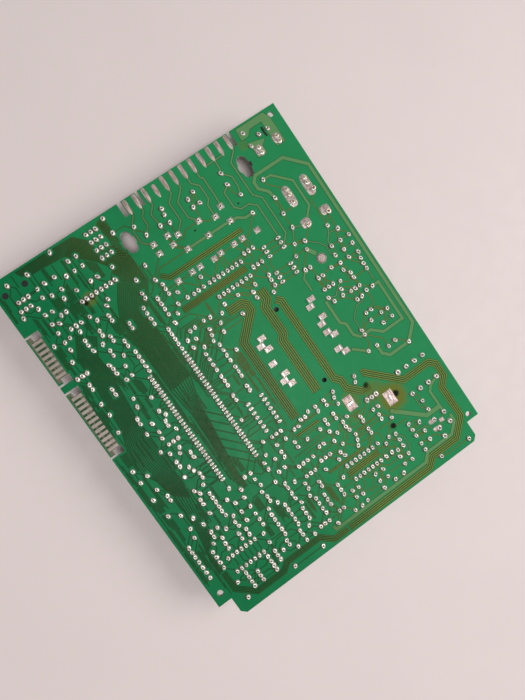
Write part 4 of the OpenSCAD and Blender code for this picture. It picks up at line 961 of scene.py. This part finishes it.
def fine_lines():
    """The finest lines, laid where the board is clear of joints and broader copper."""
    squares = Squares()
    squares.take_outside()
    for x, y, radius in PADS:
        squares.take([x], [y], radius + JOINT_GAP)
    for node, gap in COPPER_GAPS.items():
        squares.take_node(node, gap)
    strips = Strips()
    channel_lines(strips, squares)
    joining_lines(strips, squares)
    filling_lines(strips, squares)
    strips.piece("fine_lines", FINE_LACQUER, LINE_SHADE, "lacquered_copper")


painted_line_shadows()
fine_lines()


# ------------------------------------------------------------------ marks on the board

def marker_strokes():
    """Two short strokes of marker ink."""
    strips = Strips()
    strips.add([(145.3, 179.2), (145.0, 181.6), (145.2, 184.2)], 0.9, 0.1)
    strips.add([(131.2, 171.6), (131.5, 173.6)], 0.7, 0.1)
    stroke_ink = ink()
    strips.piece("marker_strokes", stroke_ink, stroke_ink, "lacquered_copper")


marker_strokes()


# Bare square lands under the filter and bead joints: layout x, y
SQUARE_LANDS = (
    (84.0, 163.9), (95.6, 163.9), (103.2, 161.2), (108.0, 163.9), (84.0, 155.9), (95.6, 155.9),
    (108.0, 155.9), (84.0, 146.0), (95.6, 146.0), (108.0, 146.0), (103.2, 146.0), (79.6, 146.0),
    (72.0, 146.0), (72.0, 161.2), (79.6, 161.2), (72.0, 166.1), (79.7, 166.1), (116.0, 145.4),
    (91.7, 145.4),
)
SQUARE_LAND = (2.9, 2.8)
HEAT_LAND = (4.8, 7.4)


def rough_land(verts, faces, x, y, size, dice, ridges=0):
    """A bare land with an uneven tinned top, heaped into ridges where asked."""
    across, along = 8, 12
    width, length = size
    first = len(verts)
    for j in range(along + 1):
        for i in range(across + 1):
            u, v = i / across, j / along
            rim = min(1.0, 6 * min(u, 1 - u, v, 1 - v))
            heap = 0.16 * abs(math.sin(v * math.pi * ridges)) if ridges else 0.0
            height = 0.03 + rim * (0.10 + heap + dice.uniform(0, 0.08))
            verts.append(place(x + (u - 0.5) * width, y + (v - 0.5) * length, height))
    for j in range(along):
        for i in range(across):
            a = first + j * (across + 1) + i
            faces.append((a, a + 1, a + across + 2, a + across + 1))


def bare_lands():
    """Square tinned lands and the two heavy ridged ones at the heat sink's feet."""
    dice = random.Random(3)
    verts, faces = [], []
    for x, y in SQUARE_LANDS:
        rough_land(verts, faces, x, y, SQUARE_LAND, dice)
    plain = len(faces)
    for low, high in islands("solder_power_parts"):
        if high[2] - low[2] < JOINT_H * MM:
            x, y = layout((low + high) / 2)
            rough_land(verts, faces, x, y, HEAT_LAND, dice, ridges=4)
    face_slots = [0] * plain + [1] * (len(faces) - plain)
    make_piece("bare_lands", verts, faces, [MATERIALS["tin_plate"], CONTACT_TIN], face_slots)


bare_lands()


# The narrow end of a wide contact: its share of the width, its length, and where the full width starts
NECK_SHARE = 0.3
NECK_L = 0.9
SHOULDER_L = 1.4


def edge_contacts():
    """The wide contacts: round at the board's edge, narrow where the line leaves."""
    verts, faces = [], []
    for low, high in islands("wide_contacts"):
        left, foot = layout(low)
        right, head = layout(high)
        middle, half = (left + right) / 2, (right - left) / 2
        neck = NECK_SHARE * half
        outline = [(middle - neck, foot - NECK_L), (middle + neck, foot - NECK_L)]
        outline += [(right, foot + SHOULDER_L), (right, head - 0.7 * half)]
        for step in range(1, 6):
            angle = math.pi * step / 6
            outline.append((middle + half * math.cos(angle), head - half * 0.7 * (1 - math.sin(angle))))
        outline += [(left, head - 0.7 * half), (left, foot + SHOULDER_L)]
        add_slab(verts, faces, outline, 0.09, 0.92)
    contacts = make_piece("edge_contacts", verts, faces, [CONTACT_TIN])
    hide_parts("wide_contacts")


edge_contacts()


# Heavy tinned lands that join the joints of the jacks: layout x, y, width, length
HEAVY_LANDS = (
    (138.0, 150.0, 4.4, 11.0), (148.5, 150.0, 4.4, 11.0), (137.6, 135.4, 5.0, 4.8),
    (149.0, 135.6, 5.0, 4.8), (138.3, 175.8, 4.4, 5.2), (148.6, 176.2, 4.4, 5.2),
    (135.2, 20.9, 4.4, 2.6), (135.2, 16.6, 4.4, 2.6), (139.4, 18.8, 2.6, 2.4),
)


def heavy_lands():
    """Rounded tinned lands, lightly domed."""
    verts, faces = [], []
    for x, y, width, length in HEAVY_LANDS:
        outline = []
        for step in range(24):
            angle = 2 * math.pi * step / 24
            c, s = math.cos(angle), math.sin(angle)
            outline.append((
                x + width / 2 * math.copysign(abs(c) ** 0.6, c),
                y + length / 2 * math.copysign(abs(s) ** 0.6, s),
            ))
        add_slab(verts, faces, outline, 0.22, 0.75)
    make_piece("heavy_lands", verts, faces, [MATERIALS["tin_plate"]])


heavy_lands()


# ------------------------------------------------------------------ marks on the parts below

BAND_COLOURS = {
    "band_brown": (0.13, 0.04, 0.015), "band_red": (0.55, 0.02, 0.015), "band_orange": (0.75, 0.20, 0.02),
    "band_yellow": (0.78, 0.60, 0.04), "band_green": (0.03, 0.28, 0.06), "band_violet": (0.16, 0.04, 0.30),
    "band_gold": (0.62, 0.42, 0.12), "band_black": (0.01, 0.01, 0.01),
}


# Each band's place along a resistor as a share of its length, and whether it is on a fat end
BANDS = ((-0.36, True), (-0.13, False), (0.05, False), (0.36, True))
BAND_HALF = 0.05


def resistor_bands():
    """Four painted bands round every resistor; the last one is gold."""
    dice = random.Random(7)
    paints = [moulded(name, colour, 0.35, 0.6, 0.005, 0.3) for name, colour in BAND_COLOURS.items()]
    gold = list(BAND_COLOURS).index("band_gold")
    others = [k for k in range(len(paints)) if k != gold]
    verts, faces, face_slots = [], [], []
    sides = 20
    for low, high in islands("resistor_bodies"):
        centre, size = (low + high) / 2, high - low
        along = 0 if size[0] > size[1] else 1
        radius = size[2] / 2
        for share, on_shoulder in BANDS:
            colour = gold if share == BANDS[-1][0] else dice.choice(others)
            r = radius * (1.01 if on_shoulder else 0.87)
            first = len(verts)
            for end in (-BAND_HALF, BAND_HALF):
                for side in range(sides):
                    angle = 2 * math.pi * side / sides
                    offset = np.zeros(3)
                    offset[along] = (share + end) * size[along]
                    offset[1 - along] = r * math.cos(angle)
                    offset[2] = r * math.sin(angle)
                    verts.append(centre + offset)
            for side in range(sides):
                other = (side + 1) % sides
                faces.append((first + side, first + other, first + sides + other, first + sides + side))
                face_slots.append(colour)
    make_piece("resistor_bands", verts, faces, paints, face_slots)


resistor_bands()


def can_stripes():
    """The pale stripe down each can's sleeve, at its negative lead."""
    verts, faces = [], []
    for low, high in islands("electrolytic_cans"):
        centre = (low + high) / 2
        radius = (high[0] - low[0]) / 2 + 0.05 * MM
        first = len(verts)
        steps = 7
        for z in (low[2] + 1.0 * MM, high[2] - 3.0 * MM):
            for step in range(steps + 1):
                angle = math.radians(-28 + 56 * step / steps)
                verts.append((
                    centre[0] + radius * math.cos(angle), centre[1] + radius * math.sin(angle), z
                ))
        for step in range(steps):
            a = first + step
            faces.append((a, a + 1, a + steps + 2, a + steps + 1))
    stripe = moulded("stripe_paint", (0.55, 0.57, 0.62), 0.35, 1.0, 0.005, 0.3)
    make_piece("can_stripes", verts, faces, [stripe])


can_stripes()


# ------------------------------------------------------------------ floor, light and camera

def floor_paper():
    """Plain pale warm table top."""
    paint = Paint("table_top")
    paint.set(Base_Color=paint.mix(paint.noise(60.0, 5.0), (0.66, 0.585, 0.575), (0.70, 0.625, 0.612)))
    paint.set(Roughness=paint.rise(paint.noise(8.0), 0.2, 0.8, 0.55, 0.75))
    paint.bumps(paint.noise(0.8, 4.0), 0.01)
    return paint.material


def floor():
    """The table top, a square sheet half metres each way from the middle."""
    mesh = bpy.data.meshes.new("table")
    half = 8.0
    corners = [(-half, -half, 0), (half, -half, 0), (half, half, 0), (-half, half, 0)]
    mesh.from_pydata(corners, [], [(0, 1, 2, 3)])
    mesh.materials.append(floor_paper())
    table = bpy.data.objects.new("table", mesh)
    bpy.context.scene.collection.objects.link(table)


def soft_light(name, position, size, power, colour):
    """A round light panel that faces the middle of the board."""
    data = bpy.data.lights.new(name, "AREA")
    data.shape = "DISK"
    data.size = size
    data.energy = power
    data.color = colour
    light = bpy.data.objects.new(name, data)
    light.location = position
    light.rotation_euler = (-Vector(position)).to_track_quat("-Z", "Y").to_euler()
    bpy.context.scene.collection.objects.link(light)


def lights():
    """A broad light from the right, a smaller one above, and a little from all round."""
    soft_light("window", (1.22, -0.50, 1.05), 1.1, 17.5, (1.0, 0.98, 0.972))
    soft_light("ceiling", (-0.07, -0.25, 1.4), 0.45, 10.5, (1.0, 0.968, 0.96))
    world = bpy.data.worlds.new("room")
    world.use_nodes = True
    world.node_tree.nodes["Background"].inputs["Color"].default_value = (0.98, 0.96, 0.96, 1)
    world.node_tree.nodes["Background"].inputs["Strength"].default_value = 0.20
    bpy.context.scene.world = world


# The camera's place in metres, the way it looks, and the direction at the top of the picture
CAMERA_AT = (-0.0159, 0.0202, 0.2636)
CAMERA_LOOKS = (0.0943, -0.0724, -0.9929)
PICTURE_TOP = (0.5701, 0.8216, -0.0058)


def camera():
    """A camera almost straight above the board, turned so that the board stands aslant."""
    data = bpy.data.cameras.new("camera")
    data.sensor_fit = "VERTICAL"
    data.sensor_height = 36.0
    data.lens = 27.0
    data.clip_start = 0.005
    eye = bpy.data.objects.new("camera", data)
    back = -Vector(CAMERA_LOOKS).normalized()
    right = Vector(PICTURE_TOP).cross(back).normalized()
    up = back.cross(right)
    turn = Matrix((right, up, back)).transposed()
    eye.matrix_world = Matrix.Translation(CAMERA_AT) @ turn.to_4x4()
    bpy.context.scene.collection.objects.link(eye)
    bpy.context.scene.camera = eye


floor()
lights()
camera()
bpy.context.scene.view_settings.view_transform = "Standard"
